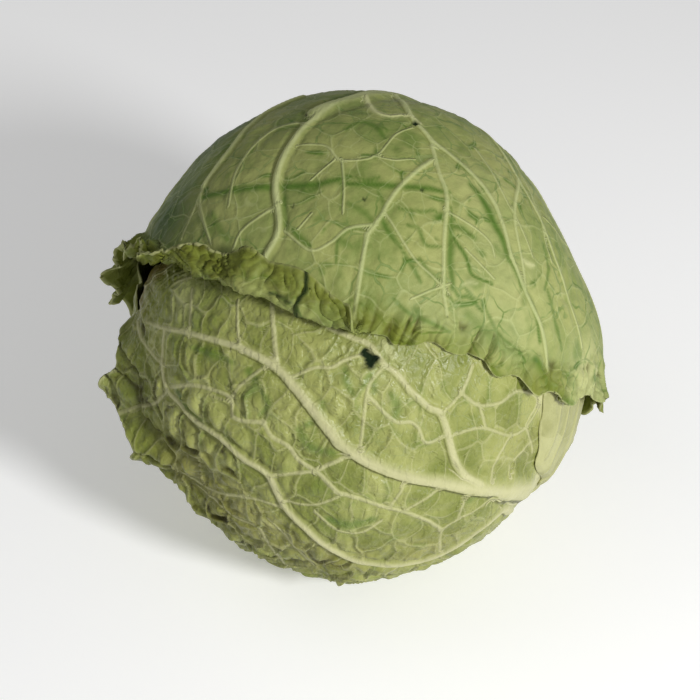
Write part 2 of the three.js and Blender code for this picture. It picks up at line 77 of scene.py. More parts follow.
PATH_STEP = 0.9
VEIN_REACH = 12  # how far out the ground beside a vein is still looked at
STREAK_REACH = 8
TEAR_REACH = 4
FAR_OFF = 9.0  # half widths from a vein that count as away from all veins
LEAST_RIB = 1.5  # half width that the height of a thinner vein is spread over
FOOT_AT = 1.75  # where the dip beside a vein lies, in half widths
FOOT_SPREAD = 0.5
FOOT_DEPTH = 0.42
GENTLE_SIDE = 0.35  # how much further a thick vein runs out on its gentle side
THICK_VEIN = (LEAST_RIB, 2.6)  # half widths over which a vein turns from thin to thick
CHUNK = 4_000_000  # places times path points compared at once

# ---- the cells between the veins: lengths in shares of a cell ----
CELL_LEAST_GAP = 0.62
CELL_ROW_STEP = 0.85
CELL_ROW_OFFSET = 0.42
CELL_COVER = 16  # points tried over the whole ball, times (cell / radius) squared
CELL_JITTER = 3  # degrees
NEIGHBOURS = 5  # cells looked at round each place

# ---- relief, in millimetres ----
WARP = 0.9  # how far the net's lines wander
WARP_SIZE = 7
KNOB_SIZE = 3.2
KNOB_SHARE = 1.6
PIMPLE_SIZE = 1.9
PIMPLE_SHARE = 0.6
SWELLS = ((0.35, 22, 7), (0.12, 9, 8))  # (height, size, seed)
STRIP_FLATTER = 0.4  # share of the relief that is lost on the way to the margin
FOLDED_CURL = (90, 150)  # curls, in degrees, between which a strip counts as folded back
FINE_CRUMPLE = 4

# ---- heart and stalk ----
HEART_DETAIL = 7  # subdivisions of the ball
BRANCH_GAP = 19  # between two side ribs of a leaf
HEART_RADIUS = 82
HEART_LOWEST = 2.4
HEART_WRAPS = 5  # leaf edges met on the way round the stalk
HEART_LEAN = 1.2  # turns that an edge leads on its way from the stalk to the far end
HEART_STEP = 1.4
HEART_GAPE = [(-165, 25, -9, 24)]
HEART_FLAT = 81.1  # where the heart is cut off under the stalk
STALK_FROM = 81.5
STALK_TO = 95
STALK_NECK = 14.5
STALK_RADIUS = 16

# ---- the camera, 700 pixels square, x right and y down ----
IMAGE = 700
CAMERA_ELEVATION = 40
CAMERA_DISTANCE = 700.0
FOCAL_PIXELS = 1795.0
CENTRE_PIXEL = (352, 335)  # where the head's centre shows
SENSOR = 36.0

# ---- the stage, in metres ----
LAMP_AWAY = 1.1
KEY_WIDTH = 0.22
FILL_WIDTH = 0.9
FLOOR_ROUGHNESS = 0.9

# ---- finish of the leaves: numbers of the leaf tissue group, then the material's specular level ----
TISSUE_NUMBERS = ("Streaks", "Crease shading", "Net", "Domes", "Mesh", "Ribs", "Roughness")
TISSUE = {
    "leaf_cap": ((0.9, 0.15, 0.26, 0.012, 92, 0.95, 0.52), 0.12),
    "leaf_side": ((0.0, 0.1, 0.3, 0.01, 120, 0.8, 0.45), 0.26),
    "leaf_front": ((0.34, 0.75, 0.27, 0.08, 190, 0.95, 0.42), 0.26),
    "leaf_under": ((0.34, 0.9, 0.27, 0.08, 190, 0.95, 0.42), 0.26),
    "heart": ((0.4, 0.5, 0.4, 0.08, 190, 0.85, 0.45), 0.35),
}
STALK_SPECULAR = 0.3
# The settings that give each leaf its deep, light, vein and dull colours; the dull colours also serve as
# painted shade.
COMMON_COLOURS = ("front_deep", "front_light", "vein", "dull")
OWN_COLOURS = {
    "leaf_cap": ("cap_deep", "cap_light", "cap_vein", "cap_shade_and_dull"),
    "leaf_side": ("side_deep", "side_light", "side_light", "dull"),
}

# Leaf margins: (bearing, out, strip width, curl in degrees, share that bends, ruffle height).
# A row that stops early has no curl, a strip that bends over its whole width and no ruffle.
MARGIN_REST = (0, 1, 0)
CAP_MARGIN = [
    (0, 94, 17, 200, 0.6, 1.8), (12, 90, 15, 120, 0.9, 1.6), (25, 87, 13, 80, 1, 1.6),
    (38, 84, 14, 55, 1, 2), (48, 83, 20, 34, 1, 2.8), (62, 87, 20, 34, 1, 3),
    (90, 89, 18, 28, 1, 2.6), (120, 87, 15, 20, 1, 2), (150, 84, 9, 8, 1, 0.8), (165, 81.5, 6),
    (174, 75, 5), (180, 73.5, 5), (186, 75, 5), (195, 81.5, 6), (215, 83, 9, 5, 1, 0.5),
    (235, 78, 19, 22, 1, 1), (250, 77, 20, 22, 1, 0.9), (262, 84, 15, 4, 1, 1.3),
    (272, 86, 14, -4, 1, 1.5), (284, 87, 13, -24, 1, 1.4), (300, 87, 12, -27, 1, 1),
    (316, 90, 12, -26, 1, 0.9), (322, 95, 5, 20, 1, 0.4), (327, 97, 12, 185, 0.55, 0.4),
    (336, 97, 19, 185, 0.42, 0.5), (348, 95.5, 20, 185, 0.42, 0.8),
]
SIDE_MARGIN = [
    (0, 50, 6, 0, 1, 0.3), (20, 44, 6), (60, 42, 6), (90, 44, 6), (120, 38, 6), (150, 26, 6),
    (170, 17.5, 4), (180, 16.5, 4), (190, 17.5, 4), (210, 24, 6), (240, 30, 6, 0, 1, 0.3),
    (270, 30, 7, -12), (300, 28, 8, -24), (310, 33, 8, -28), (326, 45, 9, -30), (338, 50, 9, -30),
    (347, 53, 9, -24),
]
FRONT_MARGIN = [
    (0, 78, 7, -10), (15, 76, 6), (30, 70, 6), (45, 65, 6), (60, 60, 6), (90, 55, 6), (120, 58, 6),
    (150, 74, 6), (165, 87, 6), (174, 86, 5), (180, 85, 5), (186, 86, 5), (195, 84, 6),
    (210, 64, 6, 0, 1, 0.2), (225, 54, 6, 0, 1, 0.3), (255, 54, 6, 0, 1, 0.3),
    (275, 57, 8, 5, 1, 0.8), (288, 60, 10, 12, 1, 1.2), (296, 63, 14, 25, 1, 2),
    (304, 68, 26, 42, 1, 3), (313, 76, 32, 46, 1, 3), (322, 84, 24, 20, 1, 2.2),
    (329, 88, 24, -14, 1, 1), (340, 90, 28, -18, 1, 1), (350, 87, 20, -18, 1, 0.5),
]
UNDER_MARGIN = [
    (0, 71, 8), (15, 69, 8), (30, 66, 7), (60, 62, 7), (120, 60, 7), (150, 60, 6), (164, 56.5, 5),
    (173, 50, 5), (180, 49, 5), (187, 50, 5), (196, 56.5, 5), (210, 60, 6), (240, 62, 7),
    (270, 68, 7), (300, 71, 8, 0, 1, 0.3), (315, 72, 12, 18, 1, 1.4), (332, 74, 13, 22, 1, 1.8),
    (345, 72, 9, 0, 1, 0.3),
]

# Veins: ((half width at the start, at the end, height at the start, at the end), path, path, ...).
# A path in the camera's frame is a list of pixels; one round the leaf has (bearing, out) pairs.
CAP_VEINS_IN_VIEW = [
    ((1.85, 1.34, 1.3, 1.1), [(384, 91), (360, 95), (305, 126), (276, 176), (278, 226), (264, 259)]),
    ((1.8, 1.5, 1.1, 0.9), [(300, 96), (262, 114), (230, 147), (204, 183)]),
    ((0.92, 0.67, 0.7, 0.5), [(204, 183), (199, 200), (210, 242)]),
    ((0.76, 0.59, 0.6, 0.4), [(204, 183), (195, 203), (181, 237)]),
    ((1.01, 0.67, 0.8, 0.5), [(305, 121), (269, 130), (240, 164), (231, 190), (228, 204)]),
    ((0.92, 0.67, 0.7, 0.5), [(277, 202), (243, 228), (233, 247)]),
    ((1.43, 1.26, 1.0, 1.0), [(394, 91), (410, 116), (433, 141)]),
    ((1.26, 1.01, 1.0, 0.8), [(436, 142), (465, 166), (490, 196), (501, 219), (511, 255)]),
    ((1.01, 1.01, 0.8, 0.6), [(511, 255), (527, 294), (542, 330), (548, 370)]),
    ((1.01, 0.84, 0.8, 0.5), [(433, 146), (440, 173), (447, 196), (445, 241), (444, 285), (447, 312)]),
    ((1.09, 0.92, 0.9, 0.7), [(431, 160), (402, 184), (388, 203), (381, 216), (367, 235)]),
    ((0.92, 0.84, 0.7, 0.5), [(367, 235), (360, 276), (354, 316)]),
    ((0.76, 0.59, 0.6, 0.4), [(478, 147), (501, 191), (519, 223), (533, 255)]),
    ((0.84, 0.59, 0.7, 0.4), [(500, 140), (515, 162), (533, 194), (545, 237), (552, 260)]),
    ((0.67, 0.55, 0.5, 0.4), [(300, 144), (326, 146), (342, 160), (375, 156), (396, 135), (413, 128)]),
    ((0.59, 0.55, 0.4, 0.3), [(342, 160), (344, 187), (343, 212)]),
    ((0.55, 0.55, 0.4, 0.3), [(335, 159), (312, 178)], [(375, 156), (394, 160), (413, 159)]),
    ((0.76, 0.59, 0.5, 0.4), [(375, 225), (348, 229), (331, 242), (310, 250), (285, 231)]),
    ((0.55, 0.55, 0.4, 0.3), [(310, 214), (299, 227)]),
    ((0.59, 0.55, 0.5, 0.3), [(386, 214), (413, 256), (432, 275), (449, 292)]),
    ((0.55, 0.55, 0.4, 0.3), [(413, 298), (432, 290), (449, 284)]),
    ((0.59, 0.55, 0.4, 0.3), [(447, 210), (478, 229), (491, 242), (495, 254)]),
    ((0.55, 0.55, 0.4, 0.3), [(468, 250), (481, 264), (493, 277)]),
    ((1.1, 0.8, 1.2, 0.8), [(365, 97), (373, 110), (388, 117), (408, 117), (419, 123)]),
]
CAP_VEINS_ROUND = [
    ((6, 2.4, 0.8, 1.4), [(180, 72), (180, 40), (0, 0), (353, 30), (0, 45)]),
    ((2, 1.1, 1.2, 0.6), [(180, 6), (60, 12), (50, 40), (42, 62), (38, 80)],
     [(180, 24), (120, 20), (88, 40), (78, 64), (74, 86)],
     [(180, 48), (158, 40), (128, 46), (110, 66), (106, 86)]),
    ((1.6, 1, 1, 0.6), [(180, 64), (163, 58), (145, 64), (136, 80)]),
    ((2, 1.1, 1.2, 0.6), [(180, 18), (232, 16), (250, 40), (248, 62), (244, 76)],
     [(180, 46), (198, 40), (216, 48), (222, 66), (222, 80)]),
    ((1.6, 1, 1, 0.6), [(180, 62), (192, 58), (203, 66), (205, 78)]),
    ((1.5, 0.9, 1, 0.5), [(0, 4), (280, 14), (283, 42), (276, 62), (262, 80)]),
    ((1.1, 0.7, 0.7, 0.4), [(50, 40), (61, 56), (60, 76)], [(88, 40), (97, 58), (90, 78)],
     [(128, 46), (125, 62), (121, 80)], [(250, 40), (239, 56), (233, 74)],
     [(216, 48), (211, 62), (213, 78)], [(283, 42), (292, 58), (288, 74)]),
    ((0.8, 0.6, 0.5, 0.3), [(74, 30), (62, 38), (52, 44)], [(80, 55), (68, 56), (59, 60)],
     [(116, 58), (104, 60), (95, 64)], [(110, 34), (104, 44), (106, 56)],
     [(226, 46), (236, 50), (246, 50)], [(222, 64), (230, 62), (238, 62)],
     [(250, 52), (262, 54), (276, 52)]),
]
FRONT_VEINS_IN_VIEW = [
    ((3.4, 2.1, 1.28, 1.6), [(545, 487), (529, 487), (451, 484), (411, 477), (369, 462), (340, 443)]),
    ((2.1, 1.5, 1.6, 1.4), [(340, 443), (310, 405), (277, 368), (240, 347)]),
    ((1.35, 0.9, 1.4, 0.88), [(240, 347), (190, 333), (160, 327), (148, 322)]),
    ((1.3, 0.9, 1.28, 0.72), [(277, 368), (274, 330), (272, 305)]),
    ((0.9, 0.74, 1.0, 0.7), [(190, 334), (192, 312), (193, 292)], [(240, 349), (238, 326), (238, 303)]),
    ((1.73, 1.3, 1.2, 1.12), [(480, 484), (465, 475), (454, 457), (442, 416), (430, 408), (411, 391)]),
    ((1.3, 1.12, 1.12, 0.96), [(411, 391), (396, 373), (384, 364), (371, 346), (353, 338), (330, 328)]),
    ((0.82, 0.72, 0.9, 0.7), [(371, 352), (345, 360), (333, 367), (314, 368), (295, 376)],
     [(383, 368), (373, 379), (367, 393), (363, 425), (360, 450)],
     [(368, 396), (394, 421), (411, 423), (419, 429), (426, 443), (444, 436)]),
    ((0.9, 0.72, 0.9, 0.7), [(472, 368), (461, 393), (442, 414)]),
    ((0.82, 0.72, 0.8, 0.7), [(461, 393), (479, 405), (501, 402), (519, 391), (538, 400), (528, 427)]),
    ((0.72, 0.72, 0.7, 0.6), [(479, 405), (485, 427)]),
    ((0.74, 0.72, 0.8, 0.7), [(452, 436), (468, 430), (485, 428), (511, 436), (529, 428), (542, 405)],
     [(511, 436), (497, 461), (492, 479)]),
    ((0.72, 0.72, 0.7, 0.6), [(528, 428), (535, 453)], [(529, 446), (514, 463), (511, 475)]),
    ((2.1, 1.7, 0.96, 1.5), [(512, 512), (500, 514), (441, 554), (407, 564), (362, 562), (332, 548)]),
    ((1.7, 1.4, 1.5, 1.3), [(332, 548), (309, 530), (285, 507), (269, 475), (245, 457), (222, 437)]),
    ((1.4, 1.1, 1.3, 1.04), [(222, 437), (190, 416), (179, 402), (168, 390), (161, 365), (165, 332)]),
    ((1.04, 0.82, 1.1, 0.9), [(352, 455), (328, 465), (316, 471), (295, 473), (273, 475)]),
    ((0.96, 0.96, 1.0, 1.0), [(172, 387), (193, 385), (214, 390), (231, 399), (235, 417), (264, 422)]),
    ((0.96, 1.12, 0.8, 0.96), [(264, 422), (272, 435), (289, 446), (300, 461), (319, 474), (338, 493)]),
    ((1.12, 0.96, 0.96, 0.8), [(338, 493), (361, 500), (385, 509), (406, 514), (427, 521), (442, 530)]),
    ((0.74, 0.72, 0.8, 0.7), [(231, 399), (240, 386), (263, 368)], [(442, 530), (440, 541), (440, 552)]),
    ((0.82, 0.74, 0.8, 0.7), [(442, 530), (458, 519), (472, 512), (491, 501), (504, 500)]),
    ((0.74, 0.72, 0.8, 0.7), [(409, 480), (405, 485), (391, 508)], [(441, 490), (426, 499), (408, 511)],
     [(477, 487), (464, 502), (458, 517)], [(316, 513), (334, 527), (348, 532), (363, 532), (380, 523)],
     [(284, 501), (313, 505), (337, 498)]),
    ((0.9, 0.74, 1.0, 0.8), [(281, 508), (261, 501), (239, 497), (217, 494), (198, 484), (181, 469)]),
    ((0.9, 0.96, 1.0, 1.0), [(198, 488), (215, 501), (236, 517), (254, 525), (265, 537), (294, 570)]),
    ((0.74, 0.74, 0.8, 0.8), [(269, 520), (283, 533), (294, 546), (304, 557), (333, 576)]),
    ((0.9, 0.9, 0.9, 0.9), [(136, 324), (142, 341), (155, 359), (162, 365)]),
    ((2.79, 2.95, 0.5, 0.6), [(543, 398), (549, 425), (547, 458), (534, 484)]),
    ((0.82, 0.82, 0.9, 0.9), [(124, 394), (136, 400), (153, 404), (168, 391)]),
    ((1.0, 0.8, 0.9, 0.7), [(148, 318), (161, 300), (176, 284), (196, 276), (214, 277)]),
    ((0.9, 0.8, 0.9, 0.7), [(140, 316), (156, 294), (170, 278), (186, 270)]),
    ((0.8, 0.7, 0.9, 0.7), [(127, 312), (140, 292), (156, 274), (170, 265)]),
]
FRONT_VEINS_ROUND = [
    ((9, 5, 0.6, 1.4), [(180, 82), (176, 55), (172, 32)]),
    ((5, 4.6, 1.4, 1.6), [(172, 32), (170, 20)]),
    ((2.6, 1.4, 1.2, 0.8), [(190, 60), (222, 46), (236, 52)]),
    ((2.4, 1.4, 1.1, 0.8), [(165, 60), (140, 52), (120, 56)]),
]
UNDER_VEINS_ROUND = [
    ((7, 2.4, 1.2, 1.6), [(180, 48), (0, 0), (350, 40), (345, 72)]),
    ((2.2, 1.4, 1.4, 1.0), [(180, 26), (100, 26), (60, 48), (50, 62)],
     [(0, 2), (40, 28), (25, 56), (20, 68)], [(180, 26), (250, 26), (290, 46), (300, 66)],
     [(180, 38), (215, 40), (235, 56)], [(0, 6), (320, 28), (322, 50), (325, 68)]),
    ((2.2, 1.4, 1.3, 1.0), [(180, 40), (140, 40), (120, 56)]),
]
SIDE_VEINS_ROUND = [
    ((6, 3, 1.2, 1.2), [(180, 16), (0, 0), (0, 28)]),
    ((3, 2, 1.2, 1.0), [(200, 14), (300, 8), (325, 26)], [(210, 18), (270, 14), (295, 32)]),
    ((3, 2, 1.1, 0.9), [(160, 14), (60, 8), (35, 34)], [(150, 18), (90, 16), (70, 38)]),
]
SIDE_VEINS_IN_VIEW = [
    ((1.2, 1.2, 0.7, 0.7), [(583, 392), (575, 430), (562, 462), (548, 486)]),
    ((1.0, 1.0, 0.6, 0.6), [(574, 394), (567, 430), (556, 460), (545, 480)],
     [(565, 396), (559, 430), (550, 458)]),
]
# Wet green streaks and bruises: (half width, strength, pixels).
CAP_STREAKS_IN_VIEW = [
    (1.9, 0.9, [(200, 197), (235, 190), (271, 185), (310, 184), (336, 180), (348, 177)]),
    (1.7, 0.9, [(344, 184), (360, 184), (394, 185), (420, 187), (447, 192)]),
    (1.2, 0.7, [(301, 190), (310, 190), (322, 185)]),
    (1.0, 0.7, [(350, 176), (368, 180), (378, 177)]),
    (0.7, 0.6, [(342, 160), (343, 182), (341, 209)]),
    (2.0, 0.9, [(472, 186), (483, 200), (494, 222), (504, 241), (509, 258)]),
    (1.2, 0.9, [(509, 258), (518, 275), (528, 296), (535, 312), (540, 340)]),
    (1.0, 0.9, [(450, 228), (459, 244), (467, 257), (473, 275), (491, 283)]),
    (1.7, 0.8, [(452, 215), (452, 238), (451, 262), (453, 286)]),
    (1.0, 0.8, [(453, 286), (460, 296), (470, 297), (482, 310)]),
    (0.8, 0.7, [(400, 208), (421, 211), (435, 210), (443, 219)]),
    (0.9, 0.7, [(410, 225), (419, 229), (426, 244), (440, 246)]),
    (1.0, 0.7, [(403, 251), (413, 267), (420, 280)]),
    (1.2, 0.7, [(421, 260), (430, 273), (444, 281)]),
    (1.6, 0.8, [(450, 225), (461, 227), (474, 236)]),
    (0.9, 0.7, [(464, 286), (474, 297), (480, 300)]),
    (1.0, 0.7, [(544, 246), (549, 267), (545, 288)]),
    (1.6, 0.8, [(293, 230), (300, 238), (308, 245)]), (2.0, 0.6, [(338, 240), (350, 246)]),
    (1.6, 0.6, [(350, 205), (365, 214), (372, 222)]),
    (1.0, 0.8, [(381, 217), (389, 233), (400, 246)]),
    (0.8, 0.7, [(336, 262), (338, 241), (345, 233), (360, 227)]),
    (1.4, 0.7, [(347, 128), (360, 122), (375, 127), (384, 138)]),
    (1.0, 0.6, [(378, 190), (384, 205), (380, 216)]),
    (1.6, 0.7, [(283, 196), (282, 214), (286, 228)]),
    (1.8, 0.6, [(212, 214), (218, 228), (226, 238)]),
    (1.0, 0.7, [(505, 150), (520, 176), (524, 190)]),
    (1.2, 0.7, [(548, 292), (556, 322), (562, 348)]),
    (1.0, 0.6, [(395, 300), (408, 312), (430, 322), (448, 330)]),
    (1.0, 0.6, [(488, 312), (500, 335), (520, 352)]),
    (0.9, 0.6, [(352, 300), (372, 310), (384, 322)]),
    (1.6, 0.9, [(384, 338), (404, 345), (430, 350)]),
    (1.8, 0.9, [(496, 368), (505, 380), (517, 392)]),
    (2.4, 0.9, [(535, 360), (548, 384), (560, 400), (571, 417)]),
    (3.0, 0.4, [(470, 316), (500, 342), (532, 362)]),
]
FRONT_STREAKS_IN_VIEW = [
    (1.6, 0.6, [(345, 371), (347, 382), (352, 392)]),
    (1.8, 0.6, [(364, 385), (371, 376), (374, 390)]),
    (2.2, 0.6, [(392, 396), (397, 406), (395, 416)]),
    (2.0, 0.5, [(196, 348), (214, 354), (232, 362)]),
    (1.6, 0.7, [(178, 392), (187, 408), (200, 420)]),
    (1.6, 0.6, [(262, 392), (268, 404), (262, 414)]),
    (2.2, 0.6, [(300, 430), (310, 446), (330, 452)]),
    (2.0, 0.6, [(250, 372), (256, 384), (246, 396)]),
    (2.4, 0.6, [(330, 520), (350, 524), (372, 520)]),
    (2.2, 0.5, [(470, 500), (486, 494), (500, 492)]),
    (2.0, 0.6, [(308, 424), (318, 418), (322, 404)]),
]
# Pale scars and dry edges: (half width, strength, pixels).
CAP_SCARS_IN_VIEW = [
    (1.1, 1.0, [(365, 97), (373, 110), (388, 117), (408, 117), (419, 123)]),
    (1.1, 0.9, [(525, 261), (529, 264), (533, 265)]),
    (0.9, 0.5, [(465, 284), (470, 282), (475, 283)]),
]
FRONT_SCARS_IN_VIEW = [
    (1.5, 0.6, [(385, 344), (389, 350), (392, 356)]),
    (2.4, 0.4, [(545, 404), (549, 425), (547, 458), (536, 482)]),
]
# Torn edges, specks and holes, painted dark; in holes and torn edges the dark is painted shade: (radius,
# darkness, depth, pixel).
CAP_HOLES_IN_VIEW = [
    (1.6, 1.0, 0.8, (416, 124)), (0.9, 0.8, 0.3, (364, 199)), (0.7, 0.8, 0.3, (423, 189)),
    (0.8, 0.7, 0.3, (292, 204)),
]
FRONT_HOLES_IN_VIEW = [
    (1.7, 1.0, 1.2, (365, 353)), (2.1, 1.0, 1.2, (370, 359)), (1.6, 1.0, 1.2, (371, 365)),
    (1.4, 1.0, 1.0, (376, 359)),
]
# Tears in the folded flap, painted dark as the shade inside them: (half width, darkness, depth, path of
# (bearing, out) pairs).
CAP_TEARS_ROUND = [
    (0.7, 1.0, 0.6, [(335, 98.5), (337, 102), (336, 106), (337, 109.5)]),
    (0.5, 0.8, 0.4, [(337, 102), (340, 102.5), (343, 101)]),
]
# Crumpled, torn places near a margin: (pixel, amount, spread in degrees).
CAP_CRUMPLES_IN_VIEW = [
    ((404, 343), 1.0, 4.5), ((425, 347), 0.6, 3.5), ((505, 381), 1.8, 5), ((552, 398), 2.0, 5),
    ((590, 395), 1.2, 5), ((366, 322), 0.6, 5),
]
FRONT_CRUMPLES_IN_VIEW = [
    ((175, 285), 0.8, 6), ((150, 300), 0.8, 6),
]
# Where a leaf is more or less blistered than elsewhere: (pixel, share added, spread in degrees).
FRONT_BLISTERS_IN_VIEW = [
    ((190, 450), 1.1, 18), ((130, 390), 1.2, 16), ((240, 400), 0.3, 14), ((250, 540), 1.4, 13),
    ((340, 575), 1.3, 11), ((330, 400), 0.4, 12), ((505, 415), -0.75, 16), ((440, 505), -0.2, 12),
    ((290, 330), -0.4, 12),
]
# Where a leaf is paler (above 0) or duller and browner (below 0), partly its own tint and partly painted
# light and shade: (pixel, amount, spread in degrees).
# Painted light on the cap's lit right, painted shade on its upper left.
CAP_TINTS_IN_VIEW = [
    ((500, 250), 0.3, 14), ((520, 330), 0.35, 12), ((440, 310), 0.25, 9), ((588, 378), 0.9, 9),
    ((480, 180), 0.2, 9), ((205, 150), -1.1, 12), ((165, 220), -1.2, 12), ((250, 110), -0.5, 9),
    ((330, 105), -0.4, 12), ((290, 190), -0.2, 14), ((450, 120), -0.15, 10),
]
# Painted shade on the front leaf's lower part and in the hollow under the frill.
FRONT_TINTS_IN_VIEW = [
    ((525, 440), -0.2, 10), ((128, 400), 0.4, 10), ((182, 300), 0.5, 6), ((148, 278), -2.2, 8),
    ((150, 265), -1.2, 6), ((190, 470), -0.5, 12), ((250, 520), -0.5, 12), ((330, 560), -0.5, 10),
    ((430, 550), -0.4, 9), ((400, 370), 0.2, 10),
]


class Leaf:
    """One wrapper leaf: where it lies on the head, its margin, its veins and how blistered it is."""

    covered_by = ()
    rise = []
    veins_in_view = veins_round = streaks_in_view = scars_in_view = tears_round = ()
    holes_in_view = blisters_in_view = crumples_in_view = tints_in_view = ()
    crumple = 0.0
    stretch = 0.34
    pleat_width = 6
    crisped = 1
    steep_side = 1
    grain = (1, 1, 1)

    def __init__(self, node, slot, facing, radius, margin, **own):
        self.node = node
        self.slot = slot
        self.chart = Chart(facing)
        self.radius = radius
        self.margin = np.array([row + MARGIN_REST[len(row) - 3:] for row in margin], dtype=float)
        vars(self).update(own)


# ---- directions and charts, on arrays of unit vectors round the head's centre ----
def facing(azimuth, elevation):
    """The unit vector that points to an azimuth and an elevation, in degrees."""
    a, e = math.radians(azimuth), math.radians(elevation)
    return np.array([math.cos(e) * math.cos(a), math.cos(e) * math.sin(a), math.sin(e)])


def unit(vectors):
    return vectors / np.linalg.norm(vectors, axis=-1, keepdims=True)


STEM = facing(*STEM_FACING)
STEM_ACROSS = unit(np.cross([0.0, 0.0, 1.0], STEM))
STEM_UP = np.cross(STEM, STEM_ACROSS)


def smoothstep(value, low, high):
    t = np.clip((value - low) / (high - low), 0, 1)
    return t * t * (3 - 2 * t)


def rises(places, directions):
    """The sum of soft rises, each (azimuth, elevation, height, spread in degrees)."""
    total = np.zeros(len(directions))
    for azimuth, elevation, height, spread in places:
        nearness = directions @ facing(azimuth, elevation) - 1
        total += height * np.exp(nearness / (1 - math.cos(math.radians(spread))))
    return total


class Chart:
    """Bearing and out round a leaf's middle: bearing 0 is its tip, 180 its stalk."""

    def __init__(self, middle_facing):
        self.middle = facing(*middle_facing)
        self.tip = unit(-STEM + (STEM @ self.middle) * self.middle)
        self.side = np.cross(self.tip, self.middle)

    def away(self, bearing):
        turn = np.radians(bearing)[:, None]
        return np.cos(turn) * self.tip + np.sin(turn) * self.side

    def direction(self, bearing, out):
        angle = np.radians(out)[:, None]
        return np.cos(angle) * self.middle + np.sin(angle) * self.away(bearing)

    def along(self, path):
        """Directions for a path of (bearing, out) pairs."""
        return self.direction(*np.array(path, dtype=float).T)

    def outward(self, bearing, out):
        angle = np.radians(out)[:, None]
        return -np.sin(angle) * self.middle + np.cos(angle) * self.away(bearing)

    def locate(self, directions):
        bearing = np.degrees(np.arctan2(directions @ self.side, directions @ self.tip))
        return bearing, np.degrees(np.arccos(np.clip(directions @ self.middle, -1, 1)))


def margin_at(leaf, bearing):
    """Each margin value (out, width, curl, bend, ruffle) at each bearing, eased between rows."""
    rows = np.vstack([leaf.margin, leaf.margin[:1] + [360, 0, 0, 0, 0, 0]])
    turn = np.mod(bearing, 360)
    low = np.clip(np.searchsorted(rows[:, 0], turn, side="right") - 1, 0, len(rows) - 2)
    ease = smoothstep(turn, rows[low, 0], rows[low + 1, 0])[:, None]
    return (rows[low, 1:] * (1 - ease) + rows[low + 1, 1:] * ease).T


LEAVES = [
    Leaf("leaf_cap", "cap_leaf", (67, 38), 91.2, CAP_MARGIN, rise=[SIDE_BULGE, CORNER_LIFT],
         veins_in_view=CAP_VEINS_IN_VIEW, veins_round=CAP_VEINS_ROUND,
         streaks_in_view=CAP_STREAKS_IN_VIEW, holes_in_view=CAP_HOLES_IN_VIEW,
         crumples_in_view=CAP_CRUMPLES_IN_VIEW,
         tints_in_view=CAP_TINTS_IN_VIEW, scars_in_view=CAP_SCARS_IN_VIEW,
         tears_round=CAP_TEARS_ROUND,
         seed=11, cell=15, net=0.42, pleats=0.16, across=276, fold=0.8, focus=(322, 0.38),
         crumple=1.6, stretch=0.9, steep_side=-1),
    Leaf("leaf_side", "side_leaf", (9, -27), 89.35, SIDE_MARGIN, rise=[SIDE_BULGE],
         covered_by=("leaf_cap",), veins_round=SIDE_VEINS_ROUND, veins_in_view=SIDE_VEINS_IN_VIEW,
         seed=23, cell=17, net=0.2, pleats=0.12, across=150, fold=0.86, focus=(330, 0.3)),
    Leaf("leaf_front", "front_leaf", (-65, 0), 86.7, FRONT_MARGIN, rise=[SIDE_BULGE],
         covered_by=("leaf_cap", "leaf_side"),
         veins_in_view=FRONT_VEINS_IN_VIEW, veins_round=FRONT_VEINS_ROUND,
         streaks_in_view=FRONT_STREAKS_IN_VIEW, holes_in_view=FRONT_HOLES_IN_VIEW,
         blisters_in_view=FRONT_BLISTERS_IN_VIEW, crumples_in_view=FRONT_CRUMPLES_IN_VIEW,
         tints_in_view=FRONT_TINTS_IN_VIEW, scars_in_view=FRONT_SCARS_IN_VIEW,
         seed=37, cell=10.5, net=1.5, pleats=0.3, across=276, fold=0.82, focus=(335, 0.2),
         crumple=1.6, stretch=0.16, pleat_width=7, crisped=0.25, grain=(1, 1, 0.62)),
    Leaf("leaf_under", "under_leaf", (175, -63), 84.5, UNDER_MARGIN,
         covered_by=("leaf_cap", "leaf_side", "leaf_front"), veins_round=UNDER_VEINS_ROUND,
         seed=53, cell=10, net=1.3, pleats=0.22, across=220, fold=0.86, focus=(330, 0.15),
         crumple=0.4, pleat_width=8),
]
LEAF_BY_NAME = {leaf.node: leaf for leaf in LEAVES}


# ---- patterns ----
def waves(points, size, seed, count=14):
    """A smooth random field of about unit height whose features are about size across."""
    draw = np.random.default_rng(seed)
    total = np.zeros(len(points))
    for _ in range(count):
        heading = unit(draw.normal(size=3))
        turns = draw.uniform(0.6, 1.4) * 2 * math.pi / (2 * size)
        total += np.sin(points @ heading * turns + draw.uniform(0, 2 * math.pi))
    return total / math.sqrt(count / 2)


def camera_axes():
    """The camera's right, up and backward directions."""
    e = math.radians(CAMERA_ELEVATION)
    right = np.array([1.0, 0.0, 0.0])
    back = np.array([0.0, -math.cos(e), math.sin(e)])
    return right, np.cross(back, right), back


def under_pixels(leaf, pixels):
    """The directions in which the leaf shows at these pixels of the camera's frame."""
    right, up, back = camera_axes()
    steps = np.array(pixels, dtype=float) - CENTRE_PIXEL
    rays = unit(steps[:, :1] * right - steps[:, 1:] * up - FOCAL_PIXELS * back)
    eye = back * CAMERA_DISTANCE
    along = -rays @ eye
    nearest = eye + rays * along[:, None]
    miss = np.linalg.norm(nearest, axis=1)
    radius = np.full(len(rays), leaf.radius)
    for _ in range(4):
        inside = np.sqrt(np.maximum(radius ** 2 - miss ** 2, 0))
        directions = unit(nearest - rays * inside[:, None])
        radius = leaf.radius + 1 + rises(HEAD_FORM + leaf.rise, directions)
    return directions


